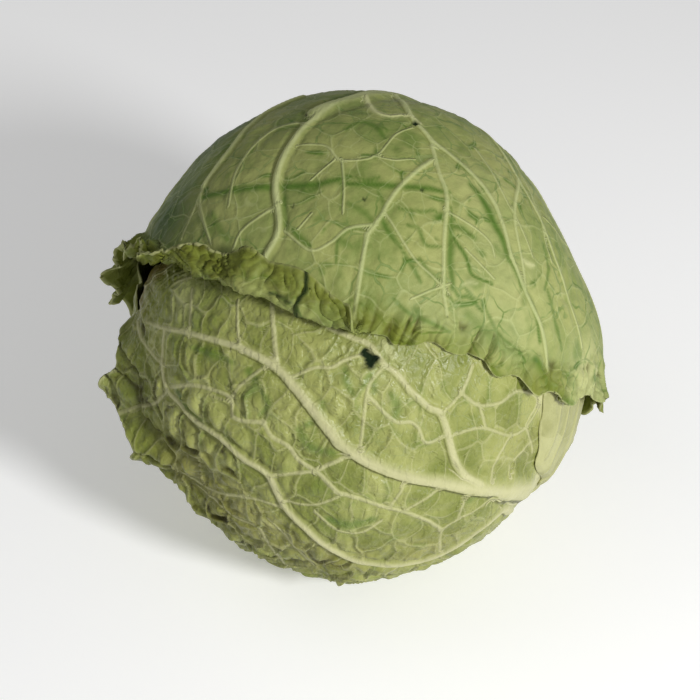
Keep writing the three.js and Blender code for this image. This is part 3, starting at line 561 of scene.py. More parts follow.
def smooth_path(corners, spacing):
    """Unit vectors every spacing radians along a smooth curve through the corners."""
    ends = np.vstack([2 * corners[0] - corners[1], corners, 2 * corners[-1] - corners[-2]])
    points = []
    for a, b, c, d in zip(ends, ends[1:], ends[2:], ends[3:]):
        steps = max(2, int(np.linalg.norm(c - b) / spacing))
        t = np.linspace(0, 1, steps, endpoint=False)[:, None]
        points.append(0.5 * (2 * b + (c - a) * t + (2 * a - 5 * b + 4 * c - d) * t ** 2
                             + (3 * b - a - 3 * c + d) * t ** 3))
    return unit(np.vstack([*points, corners[-1:]]))


def traced_veins(leaf):
    """Every vein of the leaf as (directions, half widths, heights) along it."""
    rows = [(sizes, under_pixels(leaf, path)) for sizes, *paths in leaf.veins_in_view for path in paths]
    rows += [(sizes, leaf.chart.along(path)) for sizes, *paths in leaf.veins_round for path in paths]
    veins = []
    for (from_width, to_width, from_height, to_height), corners in rows:
        path = smooth_path(corners, PATH_STEP / leaf.radius)
        share = np.linspace(0, 1, len(path))
        veins.append((path, from_width + (to_width - from_width) * share,
                      from_height + (to_height - from_height) * share))
    return veins


def nearest_on(leaf, path, half_width, flat, reach):
    """Places near a path: their numbers, gap and signed gap in half widths, nearest path point."""
    along = unit(np.gradient(path, axis=0))
    aside = np.cross(path, along)
    hub = unit(path.mean(axis=0))
    spread = np.max(np.linalg.norm(path - hub, axis=1)) + reach / leaf.radius
    near = np.flatnonzero(np.linalg.norm(flat - hub, axis=1) < spread)
    for chunk in np.array_split(near, max(1, len(near) * len(path) // CHUNK)):
        gap = np.sqrt(np.maximum(2 - 2 * flat[chunk] @ path.T, 0)) * leaf.radius / half_width
        best = np.argmin(gap, axis=1)
        width = half_width[best]
        step = (flat[chunk] - path[best]) * leaf.radius / width[:, None]
        signed = np.sum(step * aside[best], axis=1)
        ahead = np.abs(np.sum(step * along[best], axis=1)) - 0.75 * PATH_STEP / width
        yield chunk, np.hypot(signed, np.maximum(ahead, 0)), signed, best


def vein_field(leaf, veins, flat):
    """How each place lies to its nearest vein, and how high the veins stand there.

    inside is 1 on the vein's line and 0 at its side, across is how many half widths to one side
    or the other (so that it passes evenly through 0), and girth is the half width.
    """
    inside = np.full(len(flat), -FAR_OFF)
    across = np.full(len(flat), FAR_OFF)
    girth, height, foot = np.zeros((3, len(flat)))
    for path, half_width, rise in veins:
        for chunk, t, signed, best in nearest_on(leaf, path, half_width, flat, VEIN_REACH):
            side = leaf.steep_side * np.sign(signed)
            closer = 1 - t > inside[chunk]
            spots = chunk[closer]
            inside[spots] = 1 - t[closer]
            across[spots] = (side * t)[closer]
            girth[spots] = half_width[best][closer]
            wide = np.maximum(half_width[best], LEAST_RIB)
            t = t * half_width[best] / wide
            thick = smoothstep(wide, *THICK_VEIN)
            t = np.where(side < 0, t * (1 - GENTLE_SIDE * thick), t)
            steep = 2.2 + 1.8 * thick
            tall = rise[best] * (0.5 + 0.5 * smoothstep(half_width[best], 0.9, 1.8))
            height[chunk] = np.maximum(height[chunk], tall * np.exp(-t ** steep))
            foot[chunk] = np.maximum(foot[chunk], tall * np.exp(-((t - FOOT_AT) / FOOT_SPREAD) ** 2))
    height -= FOOT_DEPTH * foot * (height < 0.45 * foot + 0.3)
    return {"rib": inside, "across": np.clip(across, -FAR_OFF, FAR_OFF), "girth": girth}, height


def streak_field(leaf, streaks, flat):
    """The strength of the streaks at each place."""
    strength = np.zeros(len(flat))
    for half_width, most, pixels in streaks:
        path = smooth_path(under_pixels(leaf, pixels), PATH_STEP / leaf.radius)
        taper = 0.5 + 0.5 * np.sin(np.linspace(0.3, math.pi - 0.3, len(path)))
        for chunk, t, _, _ in nearest_on(leaf, path, half_width * taper, flat, STREAK_REACH):
            strength[chunk] = np.maximum(strength[chunk], most * np.exp(-t * t))
    return strength


def hole_field(leaf, flat):
    """How dark the holes, tears and specks make each place, and how deep they are; in holes and tears the
    dark is painted shade.
    """
    dark = np.zeros(len(flat))
    depth = np.zeros(len(flat))
    for radius, darkness, deep, pixel in leaf.holes_in_view:
        centre = under_pixels(leaf, [pixel])[0]
        gap = np.linalg.norm(flat - centre, axis=1) * leaf.radius
        inside = 1 - smoothstep(gap, 0.8 * radius, 1.15 * radius)
        dark = np.maximum(dark, darkness * inside)
        depth = np.maximum(depth, deep * inside)
    for half_width, darkness, deep, corners in leaf.tears_round:
        path = smooth_path(leaf.chart.along(corners), PATH_STEP / leaf.radius)
        widths = np.full(len(path), half_width)
        for chunk, t, _, _ in nearest_on(leaf, path, widths, flat, TEAR_REACH):
            dark[chunk] = np.maximum(dark[chunk], darkness * np.exp(-t * t))
            depth[chunk] = np.maximum(depth[chunk], deep * np.exp(-t * t))
    return dark, depth


def cell_seeds(leaf, veins):
    """Directions spread over the leaf about a cell apart, in rows on both sides of each vein."""
    draw = np.random.default_rng(leaf.seed)
    cell = leaf.cell
    kept = []
    least_gap = (CELL_LEAST_GAP * cell / leaf.radius) ** 2

    def keep(direction):
        gaps = (np.array(kept) - direction) * leaf.grain if kept else np.ones((1, 3))
        if np.min(np.sum(gaps ** 2, axis=1)) > least_gap:
            kept.append(direction)

    for path, half_width, _ in veins:
        step = max(2, int(CELL_ROW_STEP * cell / PATH_STEP))
        for i in range(step // 2, len(path) - 1, step):
            across = np.cross(unit(path[i + 1] - path[i]), path[i])
            offset = (half_width[i] + CELL_ROW_OFFSET * cell) / leaf.radius
            for sign in (-1, 1):
                keep(unit(path[i] + across * sign * offset))
    count = int(CELL_COVER * leaf.radius ** 2 * leaf.grain[2] / cell ** 2)
    turn = math.pi * (3 - math.sqrt(5))
    level = 1 - 2 * (np.arange(count) + 0.5) / count
    out = np.degrees(np.arccos(level)) + draw.uniform(-CELL_JITTER, CELL_JITTER, count)
    bearing = np.degrees(np.arange(count) * turn) + draw.uniform(-CELL_JITTER, CELL_JITTER, count)
    for direction in leaf.chart.direction(bearing, out):
        keep(direction)
    return np.array(kept)


def cell_field(leaf, seeds, flat):
    """Distance to the nearest cell edge, the same with a side, and the cell each place is in."""
    tree = kdtree.KDTree(len(seeds))
    for i, seed in enumerate(seeds):
        tree.insert(seed * leaf.grain * leaf.radius, i)
    tree.balance()
    edge, seam = np.empty((2, len(flat)))
    owner = np.empty(len(flat), dtype=int)
    places = flat * leaf.grain * leaf.radius
    for i, place in enumerate(places):
        found = tree.find_n(place, NEIGHBOURS)
        own, owner[i], own_gap = found[0]
        edge[i], other = min(((gap * gap - own_gap * own_gap) / (2 * (seed - own).length), index)
                             for seed, index, gap in found[1:])
        seam[i] = edge[i] if owner[i] < other else -edge[i]
    return edge, seam, owner


def looseness(leaf, flat):
    """The share of a leaf's relief that stands: less where another leaf presses on it."""
    least = np.ones(len(flat))
    for name in leaf.covered_by:
        cover = LEAF_BY_NAME[name]
        bearing, out = cover.chart.locate(flat)
        edge, width, curl, _, _ = margin_at(cover, bearing)
        overhang = np.where(curl > 90, 0, np.degrees(width / cover.radius))
        free = smoothstep(out - edge - overhang, *PRESSED_EDGE)
        least = np.minimum(least, PRESSED + (1 - PRESSED) * free)
    return least


# ---- leaf shape ----
def leaf_surface(leaf, discs, relief_of):
    """Places and facing of the leaf's outer face for points of its unit disc, with their marks."""
    bearing = np.degrees(np.arctan2(discs[:, 1], discs[:, 0]))
    reach = np.linalg.norm(discs, axis=1)
    out, width, curl, bend, ruffle = margin_at(leaf, bearing)
    notch = NOTCH_DEPTH * smoothstep(ruffle, 0, 1)
    width = width * (1 + notch * np.sin(np.radians(bearing * NOTCHES_ROUND_MARGIN)))
    inner = np.minimum(reach / leaf.fold, 1)
    strip = np.clip((reach - leaf.fold) / (1 - leaf.fold), 0, 1)
    base = leaf.chart.direction(bearing, inner * out)
    outward = leaf.chart.outward(bearing, inner * out)
    flat = leaf.chart.direction(bearing, inner * out + np.degrees(strip * width / leaf.radius))
    form = rises(HEAD_FORM, base) + rises(leaf.rise, base)
    ahead = leaf.chart.direction(bearing, inner * out + 2)
    slope = (rises(HEAD_FORM, ahead) + rises(leaf.rise, ahead) - form) / (
        leaf.radius * math.radians(2))
    place = base * (leaf.radius + form)[:, None]
    leaving = np.arctan(slope)
    step = width * strip / FLAP_SAMPLES
    lean = np.zeros(len(discs))
    for i in range(FLAP_SAMPLES):
        travelled = (i + 0.5) * step
        turned = np.minimum(1, travelled / (width * bend))
        lean = leaving + np.radians(curl) * turned - travelled / leaf.radius
        place += outward * (np.cos(lean) * step)[:, None] + base * (np.sin(lean) * step)[:, None]
    lean = np.where(strip > 0, lean, 0)
    normal = base * np.cos(lean)[:, None] - outward * np.sin(lean)[:, None]
    wave = sum(share * np.sin(np.radians(bearing * count) + leaf.seed + i)
               for i, (count, share) in enumerate(zip(WAVES_ROUND_MARGIN, WAVE_SHARES)))
    lift = ruffle * strip * np.where(np.abs(curl) < FLAT_MARGIN, (1 + wave) / 2, wave)
    marks = relief_of(flat)
    rise = marks.pop("relief") * (1 - STRIP_FLATTER * strip) + BLADE_OUTSIDE
    folded_back = smoothstep(curl, *FOLDED_CURL)
    ruffled = np.maximum(smoothstep(ruffle, 0.2, 1.5), 0.5 * folded_back)
    lift *= 1 - 0.5 * folded_back
    torn = sum_of_spots(leaf, leaf.crumples_in_view, flat)
    loose = leaf.crumple * smoothstep(strip, 0, 0.35) * (0.15 + 0.85 * ruffled)
    loose *= 1 - 0.4 * folded_back
    crumple, valley_shade = crumples(leaf, bearing, flat, 0.3 + 0.7 * smoothstep(curl, 30, 70))
    lift += np.maximum(loose, torn) * crumple
    place += normal * (lift + rise)[:, None]
    marks["margin"] = np.maximum(leaf.crisped * smoothstep(strip, 0.05, 0.9) * ruffled, 0.8 * torn)
    marks["scar"] = np.maximum(marks["scar"], 0.6 * smoothstep(strip, 0.955, 1) * ruffled)
    # the pleats' valleys are painted as shade where the margin is crumpled
    valley_shade = valley_shade * np.clip(np.maximum(loose, torn), 0, 1)
    marks["valley_shade"] = np.maximum(marks["valley_shade"], valley_shade)
    return place, marks


def folds(field):
    """A smooth field turned into rounded crests with sharp valleys between, from -1 to 1."""
    share = np.abs(np.mod(field, 2) - 1)
    return 2 * np.sin(share * math.pi / 2) - 1


def crumples(leaf, bearing, flat, frilled):
    """Pleats that run out to the margin, with smaller ones across them, and where their valleys are,
    which are painted as shade.
    """
    turn = np.radians(bearing)
    _, out = leaf.chart.locate(flat)
    run = np.radians(out) * np.maximum(leaf.stretch * frilled, 0.25)
    along = np.stack([np.cos(turn), np.sin(turn), run], axis=1)
    height = (0.5 + 0.65 * frilled) * waves(along * leaf.radius, leaf.pleat_width, leaf.seed + 5)
    pleat = folds(height)
    fine = folds(1.1 * waves(flat * leaf.radius, FINE_CRUMPLE, leaf.seed + 6))
    across_pleats = leaf.stretch * frilled
    valley_shade = np.maximum(smoothstep(-pleat, 0.2, 0.9), smoothstep(-fine, 0.1, 0.9) * across_pleats)
    return 0.75 * pleat + 0.95 * across_pleats * fine, valley_shade


def sum_of_spots(leaf, spots, flat):
    """The sum of soft spots, each (pixel, amount, spread in degrees)."""
    total = np.zeros(len(flat))
    for pixel, amount, spread in spots:
        centre = under_pixels(leaf, [pixel])[0]
        total += amount * np.exp((flat @ centre - 1) / (1 - math.cos(math.radians(spread))))
    return total


def relief_maker(leaf, shape):
    """A function of places on the unrolled leaf that gives its relief and its colour marks."""
    veins = traced_veins(leaf)
    seeds = cell_seeds(leaf, veins)
    draw = np.random.default_rng(leaf.seed + 2)
    tone = draw.uniform(0, 1, len(seeds))
    creased = smoothstep(draw.uniform(0, 1, len(seeds)), 0.3, 0.8)

    def relief_of(flat):
        spots = flat * leaf.radius
        warp = np.stack([waves(spots, WARP_SIZE, leaf.seed + k) for k in (31, 32, 33)], axis=1)
        warped = unit(spots + WARP * warp)
        ribs, vein_height = vein_field(leaf, veins, flat)
        inside = ribs["rib"]
        edge, seam, owner = cell_field(leaf, seeds, warped)
        vigour = np.maximum(1 + sum_of_spots(leaf, leaf.blisters_in_view, flat), 0.15)
        depth = leaf.net * shape.blister * vigour * (0.4 + 0.9 * tone[owner])
        wall = smoothstep(edge, 0.15, 1.5)
        bowl = smoothstep(edge, 1.1, 0.48 * leaf.cell)
        pits = depth * (0.7 * (1 - wall) + 0.75 * bowl)
        # painted shade in the crease round each cell, deeper where the leaf is more blistered
        crease_shade = np.clip(vigour - 0.6, 0, 1.3) * creased[owner]
        knobs = waves(spots * [1, 1, 0.6], KNOB_SIZE, leaf.seed + 3)
        pimples = waves(spots * [1, 1, 0.7], PIMPLE_SIZE, leaf.seed + 4)
        rough = KNOB_SHARE * smoothstep(knobs, -0.5, 0.8) + PIMPLE_SHARE * smoothstep(pimples, -0.4, 0.9)
        bumps = leaf.pleats * vigour * rough * smoothstep(edge, 0.3, 1.6)
        away_from_veins = 1 - 0.85 * smoothstep(inside, -1.1, 0.2)
        swell = sum(height * waves(spots, size, seed) for height, size, seed in SWELLS)
        blisters = (pits + bumps) * away_from_veins
        dark, hole = hole_field(leaf, flat)
        relief = np.maximum(vein_height * shape.vein, 0) + blisters + np.minimum(vein_height, 0)
        relief = relief * looseness(leaf, flat) + swell - hole
        between_knobs = smoothstep(-knobs, 0.1, 1.1) * away_from_veins
        return {**ribs, "relief": relief, "edge": edge, "seam": seam, "tone": tone[owner],
                "dark": dark, "crease_shade": crease_shade,
                # painted shade between the knobs where the leaf is most blistered
                "valley_shade": 0.55 * np.clip(vigour - 1.2, 0, 0.9) * between_knobs,
                # paler or duller tissue, partly painted light and shade
                "tint_light_and_shade": sum_of_spots(leaf, leaf.tints_in_view, flat),
                "streak": streak_field(leaf, leaf.streaks_in_view, flat),
                "scar": streak_field(leaf, leaf.scars_in_view, flat)}

    return relief_of


def crowd(u, v, bearing, share):
    """Points of the unit disc drawn together towards one side of it, with the rim kept."""
    pull = share * np.exp(1j * math.radians(bearing))
    moved = (u + 1j * v + pull) / (1 + np.conj(pull) * (u + 1j * v))
    return np.stack([moved.real, moved.imag], axis=1)


def mesh_of(bm, name):
    """A mesh of the bmesh's faces, which is freed."""
    mesh = bpy.data.meshes.new(name)
    bm.to_mesh(mesh)
    bm.free()
    return mesh


def finished(mesh, place, marks):
    """The mesh with its points at these places, in metres, its marks and smooth faces."""
    mesh.vertices.foreach_set("co", place.ravel())
    for name, values in marks.items():
        mesh.attributes.new(name, "FLOAT", "POINT").data.foreach_set("value", values)
    mesh.polygons.foreach_set("use_smooth", np.ones(len(mesh.polygons), dtype=bool))
    mesh.update()
    return mesh


def leaf_mesh(leaf, shape):
    """A closed leaf: its outer face on a fine grid, its inner face on one half as fine."""
    bm = bmesh.new()
    bmesh.ops.create_grid(bm, x_segments=leaf.across, y_segments=leaf.across, size=1)
    half = leaf.across // 2
    inner = bmesh.ops.create_grid(bm, x_segments=half, y_segments=half, size=1)["verts"]
    bmesh.ops.translate(bm, verts=inner, vec=(0, 0, -0.5 / leaf.across))
    bmesh.ops.reverse_faces(bm, faces=list({face for vert in inner for face in vert.link_faces}))
    bmesh.ops.bridge_loops(bm, edges=[edge for edge in bm.edges if edge.is_boundary])
    mesh = mesh_of(bm, leaf.node + "_dressed")
    corners = np.empty(len(mesh.vertices) * 3)
    mesh.vertices.foreach_get("co", corners)
    x, y, z = corners.reshape(-1, 3).T
    discs = crowd(x * np.sqrt(1 - y * y / 2), -y * np.sqrt(1 - x * x / 2), *leaf.focus)
    place, marks = leaf_surface(leaf, discs, relief_maker(leaf, shape))
    place += HEAD_CENTRE
    place *= MM
    mesh.vertices.foreach_set("co", place.ravel())
    mesh.update()
    normals = np.empty(len(mesh.vertices) * 3)
    mesh.vertex_normals.foreach_get("vector", normals)
    place[z < 0] += normals.reshape(-1, 3)[z < 0] * shape.blade
    place[:, 2] = np.maximum(place[:, 2], 0)
    return finished(mesh, place, marks)


# ---- heart and stalk ----
def heart_mesh():
    """A ball of packed leaves: stepped edges wind round it, and each leaf has its own ribs."""
    bm = bmesh.new()
    bmesh.ops.create_icosphere(bm, subdivisions=HEART_DETAIL, radius=1)
    facings = unit(np.array([vert.co for vert in bm.verts]))
    level = facings @ STEM
    turn = np.arctan2(facings @ STEM_UP, facings @ STEM_ACROSS) / (2 * math.pi)
    phase = np.mod(turn * HEART_WRAPS + (1 + level) * HEART_LEAN, 1)
    from_axis = np.sqrt(1 - level ** 2)
    aside = (phase - 0.5) * 2 * math.pi / HEART_WRAPS * HEART_RADIUS * from_axis
    along = np.arccos(np.clip(level, -1, 1)) * HEART_RADIUS
    wander = 3 * waves(facings * HEART_RADIUS, 20, 61)
    branch = np.mod(along - 0.9 * np.abs(aside) + wander, BRANCH_GAP) - BRANCH_GAP / 2
    rib = np.maximum(1 - np.abs(aside) / 2.6, 1 - np.abs(branch) / 1.2)
    rib_height = 1.1 * np.exp(-(aside / 2.4) ** 2) + 0.6 * np.exp(-(branch / 1.1) ** 2)
    bumps = 0.5 * waves(facings * HEART_RADIUS, 4, 62) * (rib < -0.4)
    radius = HEART_RADIUS - HEART_STEP * phase * from_axis + rises(HEAD_FORM + HEART_GAPE, facings)
    place = facings * (radius + (rib_height + bumps) * 0.6 - 0.5)[:, None]
    beyond = np.maximum(place @ STEM - HEART_FLAT, 0)
    place = place - STEM * beyond[:, None] + HEAD_CENTRE
    place[:, 2] = np.maximum(place[:, 2], HEART_LOWEST)
    unmarked = {name: np.zeros(len(place)) for name in ("tint_light_and_shade", "streak", "scar", "dark", "crease_shade")}
    # the valley mark paints shade just under each stepped leaf edge
    marks = {**unmarked, "rib": rib, "across": 1 - rib, "girth": np.full(len(place), 1.5),
             "edge": np.abs(branch) + 1, "seam": np.abs(branch) + 1, "tone": np.mod(phase * 7, 1),
             "margin": smoothstep(phase, 0.97, 1), "valley_shade": smoothstep(phase, 0.12, 0) * 0.8}
    return finished(mesh_of(bm, "heart_dressed"), place * MM, marks)


def stalk_mesh():
    """A cut stump turned about its own length, uneven round its side, with a worn rim."""
    length = STALK_TO - STALK_FROM
    corners = [(0, 0), (STALK_NECK, 0), (STALK_NECK, 0.35 * length), (STALK_RADIUS, 0.7 * length),
               (STALK_RADIUS, length - 1.6), (STALK_RADIUS - 0.5, length - 0.5),
               (STALK_RADIUS - 1.7, length), (0, length)]
    profile = [corners[0]]
    for (r0, h0), (r1, h1) in zip(corners, corners[1:]):
        steps = max(2, int(math.hypot(r1 - r0, h1 - h0) / 0.7))
        profile += [(r0 + (r1 - r0) * i / steps, h0 + (h1 - h0) * i / steps)
                    for i in range(1, steps + 1)]
    bm = bmesh.new()
    verts = [bm.verts.new((r, 0, h)) for r, h in profile]
    edges = [bm.edges.new(pair) for pair in zip(verts, verts[1:])]
    bmesh.ops.spin(bm, geom=verts + edges, angle=2 * math.pi, steps=120, axis=(0, 0, 1),
                   cent=(0, 0, 0), use_merge=True)
    bmesh.ops.remove_doubles(bm, verts=bm.verts, dist=1e-4)
    bmesh.ops.recalc_face_normals(bm, faces=bm.faces)
    x, y, h = np.array([vert.co for vert in bm.verts]).T
    radius = np.hypot(x, y)
    turn = np.arctan2(y, x)
    side = smoothstep(radius, 0.8 * STALK_NECK, STALK_NECK)
    ribs = 0.25 * np.sin(9 * turn) + 0.18 * np.sin(23 * turn + 1.3 * np.sin(h * 0.4))
    rough = 0.18 * waves(np.stack([x, y, h], axis=1), 2.2, 71)
    grown = radius + side * (ribs + rough)
    cut = smoothstep(h, length - 0.9, length - 0.1)
    face = 0.35 * waves(np.stack([x, y * 0.15, h * 0], axis=1), 1.1, 72)
    face -= 0.9 * np.exp(-(radius / 4.2) ** 2)
    scale = grown / np.maximum(radius, 1e-6)
    base = HEAD_CENTRE + STEM * STALK_FROM
    place = (base + np.outer(x * scale, STEM_ACROSS) + np.outer(y * scale, STEM_UP)
             + np.outer(h + cut * np.minimum(face, 0), STEM))
    marks = {"radial": radius / STALK_RADIUS, "cut": cut}
    return finished(mesh_of(bm, "stalk_dressed"), place * MM, marks)


def add_object(name, data):
    """Puts an object with this mesh, lamp or camera in the scene."""
    made = bpy.data.objects.new(name, data)
    bpy.context.collection.objects.link(made)
    return made


def add_piece(mesh, node):
    """Puts a mesh in the scene as a piece that stands for a CAD node."""
    piece = add_object(node + "_dressed", mesh)
    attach(piece, ROOT)
    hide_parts(node)
    return piece


# ---- shader nodes ----
class Graph:
    """Short calls for the nodes of one tree; a value may be a number, a colour or a socket."""

    def __init__(self, tree):
        self.tree = tree

    def node(self, kind, inputs=(), **settings):
        made = self.tree.nodes.new(kind)
        for key, value in settings.items():
            setattr(made, key, value)
        for key, value in dict(inputs).items():
            self.feed(made.inputs[key], value)
        return made

    def feed(self, socket, value):
        if isinstance(value, bpy.types.NodeSocket):
            self.tree.links.new(value, socket)
        else:
            socket.default_value = value

    def math(self, operation, a, b=0.0, clamp=False):
        return self.node("ShaderNodeMath", {0: a, 1: b}, operation=operation, use_clamp=clamp).outputs[0]

    def add(self, a, b):
        return self.math("ADD", a, b)

    def times(self, product, *factors):
        for factor in factors:
            product = self.math("MULTIPLY", product, factor)
        return product

    def top(self, a, b):
        return self.math("MAXIMUM", a, b)

    def between(self, value, low, high, to_low=0.0, to_high=1.0):
        return self.node("ShaderNodeMapRange", {
            "Value": value, "From Min": low, "From Max": high, "To Min": to_low, "To Max": to_high,
        }, interpolation_type="SMOOTHSTEP").outputs["Result"]

    def mix(self, share, a, b):
        return self.node("ShaderNodeMix", {0: share, 6: a, 7: b}, data_type="RGBA").outputs[2]

    def attribute(self, name):
        return self.node("ShaderNodeAttribute", attribute_name=name).outputs["Fac"]

    def place(self):
        return self.node("ShaderNodeTexCoord").outputs["Object"]

    def noise(self, place, scale, detail=3.0, roughness=0.55):
        return self.node("ShaderNodeTexNoise", {
            "Vector": place, "Scale": scale, "Detail": detail, "Roughness": roughness,
        }).outputs["Fac"]

    def warp(self, place, scale, amount):
        drift = self.node("ShaderNodeTexNoise", {"Vector": place, "Scale": scale, "Detail": 2.0})
        centred = self.node("ShaderNodeVectorMath", {0: drift.outputs["Color"], 1: (0.5, 0.5, 0.5)},
                            operation="SUBTRACT").outputs[0]
        return self.node("ShaderNodeVectorMath", {
            0: centred, 1: (amount, amount, amount), 2: place,
        }, operation="MULTIPLY_ADD").outputs[0]

    def cells(self, place, scale):
        return self.node("ShaderNodeTexVoronoi", {"Vector": place, "Scale": scale},
                         feature="DISTANCE_TO_EDGE").outputs["Distance"]


RESULTS = {"Color": "Color", "Roughness": "Float", "Height": "Float"}


def new_group(name, colours, numbers=()):
    """A shader group with these inputs, which gives a colour, a roughness and a height."""
    tree = bpy.data.node_groups.new(name, "ShaderNodeTree")
    sockets = [(key, "INPUT", "Color") for key in colours]
    sockets += [(key, "INPUT", "Float") for key in numbers]
    sockets += [(key, "OUTPUT", kind) for key, kind in RESULTS.items()]
    for key, way, kind in sockets:
        tree.interface.new_socket(name=key, in_out=way, socket_type="NodeSocket" + kind)
    g = Graph(tree)
    return g, g.node("NodeGroupInput").outputs, g.node("NodeGroupOutput").inputs


def leaf_tissue_group():
    """Colour, roughness and fine height of living leaf, from its marks and its own colours."""
    existing = bpy.data.node_groups.get("Leaf tissue")
    if existing:
        return existing
    g, given, results = new_group("Leaf tissue", (
        "Deep", "Light", "Vein", "Streak", "Margin", "Crease shade", "Pale", "Dull"), TISSUE_NUMBERS)
    place = g.place()
    rib, sided, girth, edge, tint_light_and_shade, streak, margin, dark = map(g.attribute, (
        "rib", "across", "girth", "edge", "tint_light_and_shade", "streak", "margin", "dark"))
    across = g.math("ABSOLUTE", sided)
    seam = g.math("ABSOLUTE", g.attribute("seam"))
    net = g.cells(g.warp(place, 120, 0.006), given["Mesh"])
    netting = g.cells(g.warp(place, 400, 0.0012), 520)
    broad = g.noise(place, 34, 2)
    mottle = g.noise(place, 130, 3)
    fine = g.noise(place, 800, 3, 0.6)
    blend = g.add(g.times(broad, 0.58), g.add(g.times(mottle, 0.3), g.times(g.attribute("tone"), 0.12)))
    colour = g.mix(g.between(blend, 0.38, 0.62), given["Deep"], given["Light"])
    colour = g.mix(g.between(fine, 0.4, 0.7, 0.0, 0.2), colour, given["Light"])
    # paler or duller tissue by the tint mark, partly painted light on the lit side and painted shade on
    # the shaded side
    colour = g.mix(g.math("MULTIPLY", tint_light_and_shade, 0.7, clamp=True), colour, given["Pale"])
    colour = g.mix(g.math("MULTIPLY", tint_light_and_shade, -0.7, clamp=True), colour, given["Dull"])
    # fresher green in smudges, along the net and beside the veins, only in places
    smudge = g.times(g.between(g.noise(place, 72, 2), 0.56, 0.74), 0.55)
    patchy = g.between(g.noise(place, 95, 3), 0.48, 0.62)
    flank = g.times(g.between(edge, 2.0, 0.2), patchy, g.between(broad, 0.4, 0.56))
    hair = g.times(g.between(net, 0.05, 0.01), g.between(g.noise(place, 64, 2), 0.42, 0.6, 0, 0.75))
    green = g.times(g.top(g.top(smudge, flank), hair), given["Streaks"])
    colour = g.mix(g.top(green, streak), colour, given["Streak"])
    # painted shade in the crease round each cell, where the crease mark says
    ring = g.times(g.between(edge, 2.0, 1.1), g.between(seam, 0.35, 0.8))
    crease_shade = g.times(ring, g.attribute("crease_shade"), g.between(mottle, 0.4, 0.55, 0.15, 1.0))
    colour = g.mix(g.math("MULTIPLY", crease_shade, given["Crease shading"], clamp=True), colour, given["Crease shade"])
    net_line = g.times(g.between(seam, 0.42, 0.12), g.between(edge, 1.4, 0.8), given["Net"])
    colour = g.mix(g.times(net_line, g.between(streak, 0.5, 0.1)), colour, given["Vein"])
    pale_net = g.times(g.between(net, 0.028, 0.008), g.between(broad, 0.36, 0.55, 0, 0.8))
    colour = g.mix(g.times(pale_net, given["Net"]), colour, given["Vein"])
    near_rib = g.between(rib, -1.2, -0.5)
    on_rib = g.between(rib, -0.7, -0.2)
    halo = g.times(g.between(across, 2.1, 0.8), g.between(girth, 0.6, 2.0, 0.25, 0.5))
    colour = g.mix(g.times(halo, near_rib), colour, given["Light"])
    # painted shadow along the steep side of each thick vein
    shade = g.times(g.between(sided, 0.95, 1.15), g.between(sided, 1.6, 1.25),
                    g.between(girth, 0.9, 2.2, 0.1, 0.7), g.between(rib, -0.75, -0.55))
    colour = g.mix(shade, colour, given["Crease shade"])
    thick = g.between(girth, 1.2, 2.4)
    merging = g.times(g.between(sided, -1.7, 0.0), g.between(sided, 1.1, 0.85), thick)
    thin = g.times(g.between(across, 1.15, 0.4), on_rib, g.math("SUBTRACT", 1.0, thick))
    rib_line = g.times(g.add(merging, thin), near_rib)
    rib_share = g.times(g.between(girth, 0.6, 1.8, 0.56, 1.0), g.between(mottle, 0.3, 0.65, 0.8, 1.0))
    colour = g.mix(g.times(rib_line, rib_share, given["Ribs"]), colour, given["Vein"])
    frill = g.times(g.between(margin, 0.02, 0.6), g.between(mottle, 0.3, 0.6, 0.55, 0.95))
    colour = g.mix(g.times(frill, g.between(tint_light_and_shade, 0.35, 0.05)), colour, given["Margin"])
    # painted shade in the valleys of pleats and knobs and under the heart's stepped edges
    hollow_shade = g.times(g.attribute("valley_shade"), g.between(mottle, 0.3, 0.6, 0.3, 0.75))
    colour = g.mix(hollow_shade, colour, given["Crease shade"])
    colour = g.mix(g.attribute("scar"), colour, given["Pale"])
    # near black in holes and tears: painted shade
    colour = g.mix(dark, colour, (0.006, 0.016, 0.004, 1))
    g.feed(results["Color"], colour)
    upright = g.node("ShaderNodeVectorMath", {0: place, 1: (1, 1, 0.55)}, operation="MULTIPLY").outputs[0]
    pebble = g.between(g.noise(g.warp(upright, 150, 0.004), 330, 1), 0.44, 0.6)
    rough = g.add(given["Roughness"], g.times(g.math("SUBTRACT", fine, 0.5), 0.3))
    rough = g.math("SUBTRACT", rough, g.times(pebble, given["Domes"]))
    g.feed(results["Roughness"], g.top(g.add(rough, g.times(rib_line, 0.08)), dark))
    soft = g.add(g.times(g.noise(place, 420, 3), 0.3), g.times(fine, 0.1))
    raised = g.times(g.between(across, 1.3, 0.0), on_rib, g.between(girth, 1.8, 0.9, 0, 0.34))
    domes = g.add(g.between(net, 0.0, 0.2), g.times(g.between(netting, 0.0, 0.25), 0.3))
    domes = g.add(domes, g.times(pebble, 2.6))
    crisp = g.add(g.times(g.between(seam, 0.7, 0.1), g.between(edge, 1.4, 0.8), 0.07),
                  g.add(g.times(domes, given["Domes"]), raised))
    smoothed = g.times(g.between(across, 1.0, 0.2, 0, 0.65), thick)
    g.feed(results["Height"], g.times(g.add(soft, crisp), g.math("SUBTRACT", 1.0, smoothed)))
    return g.tree


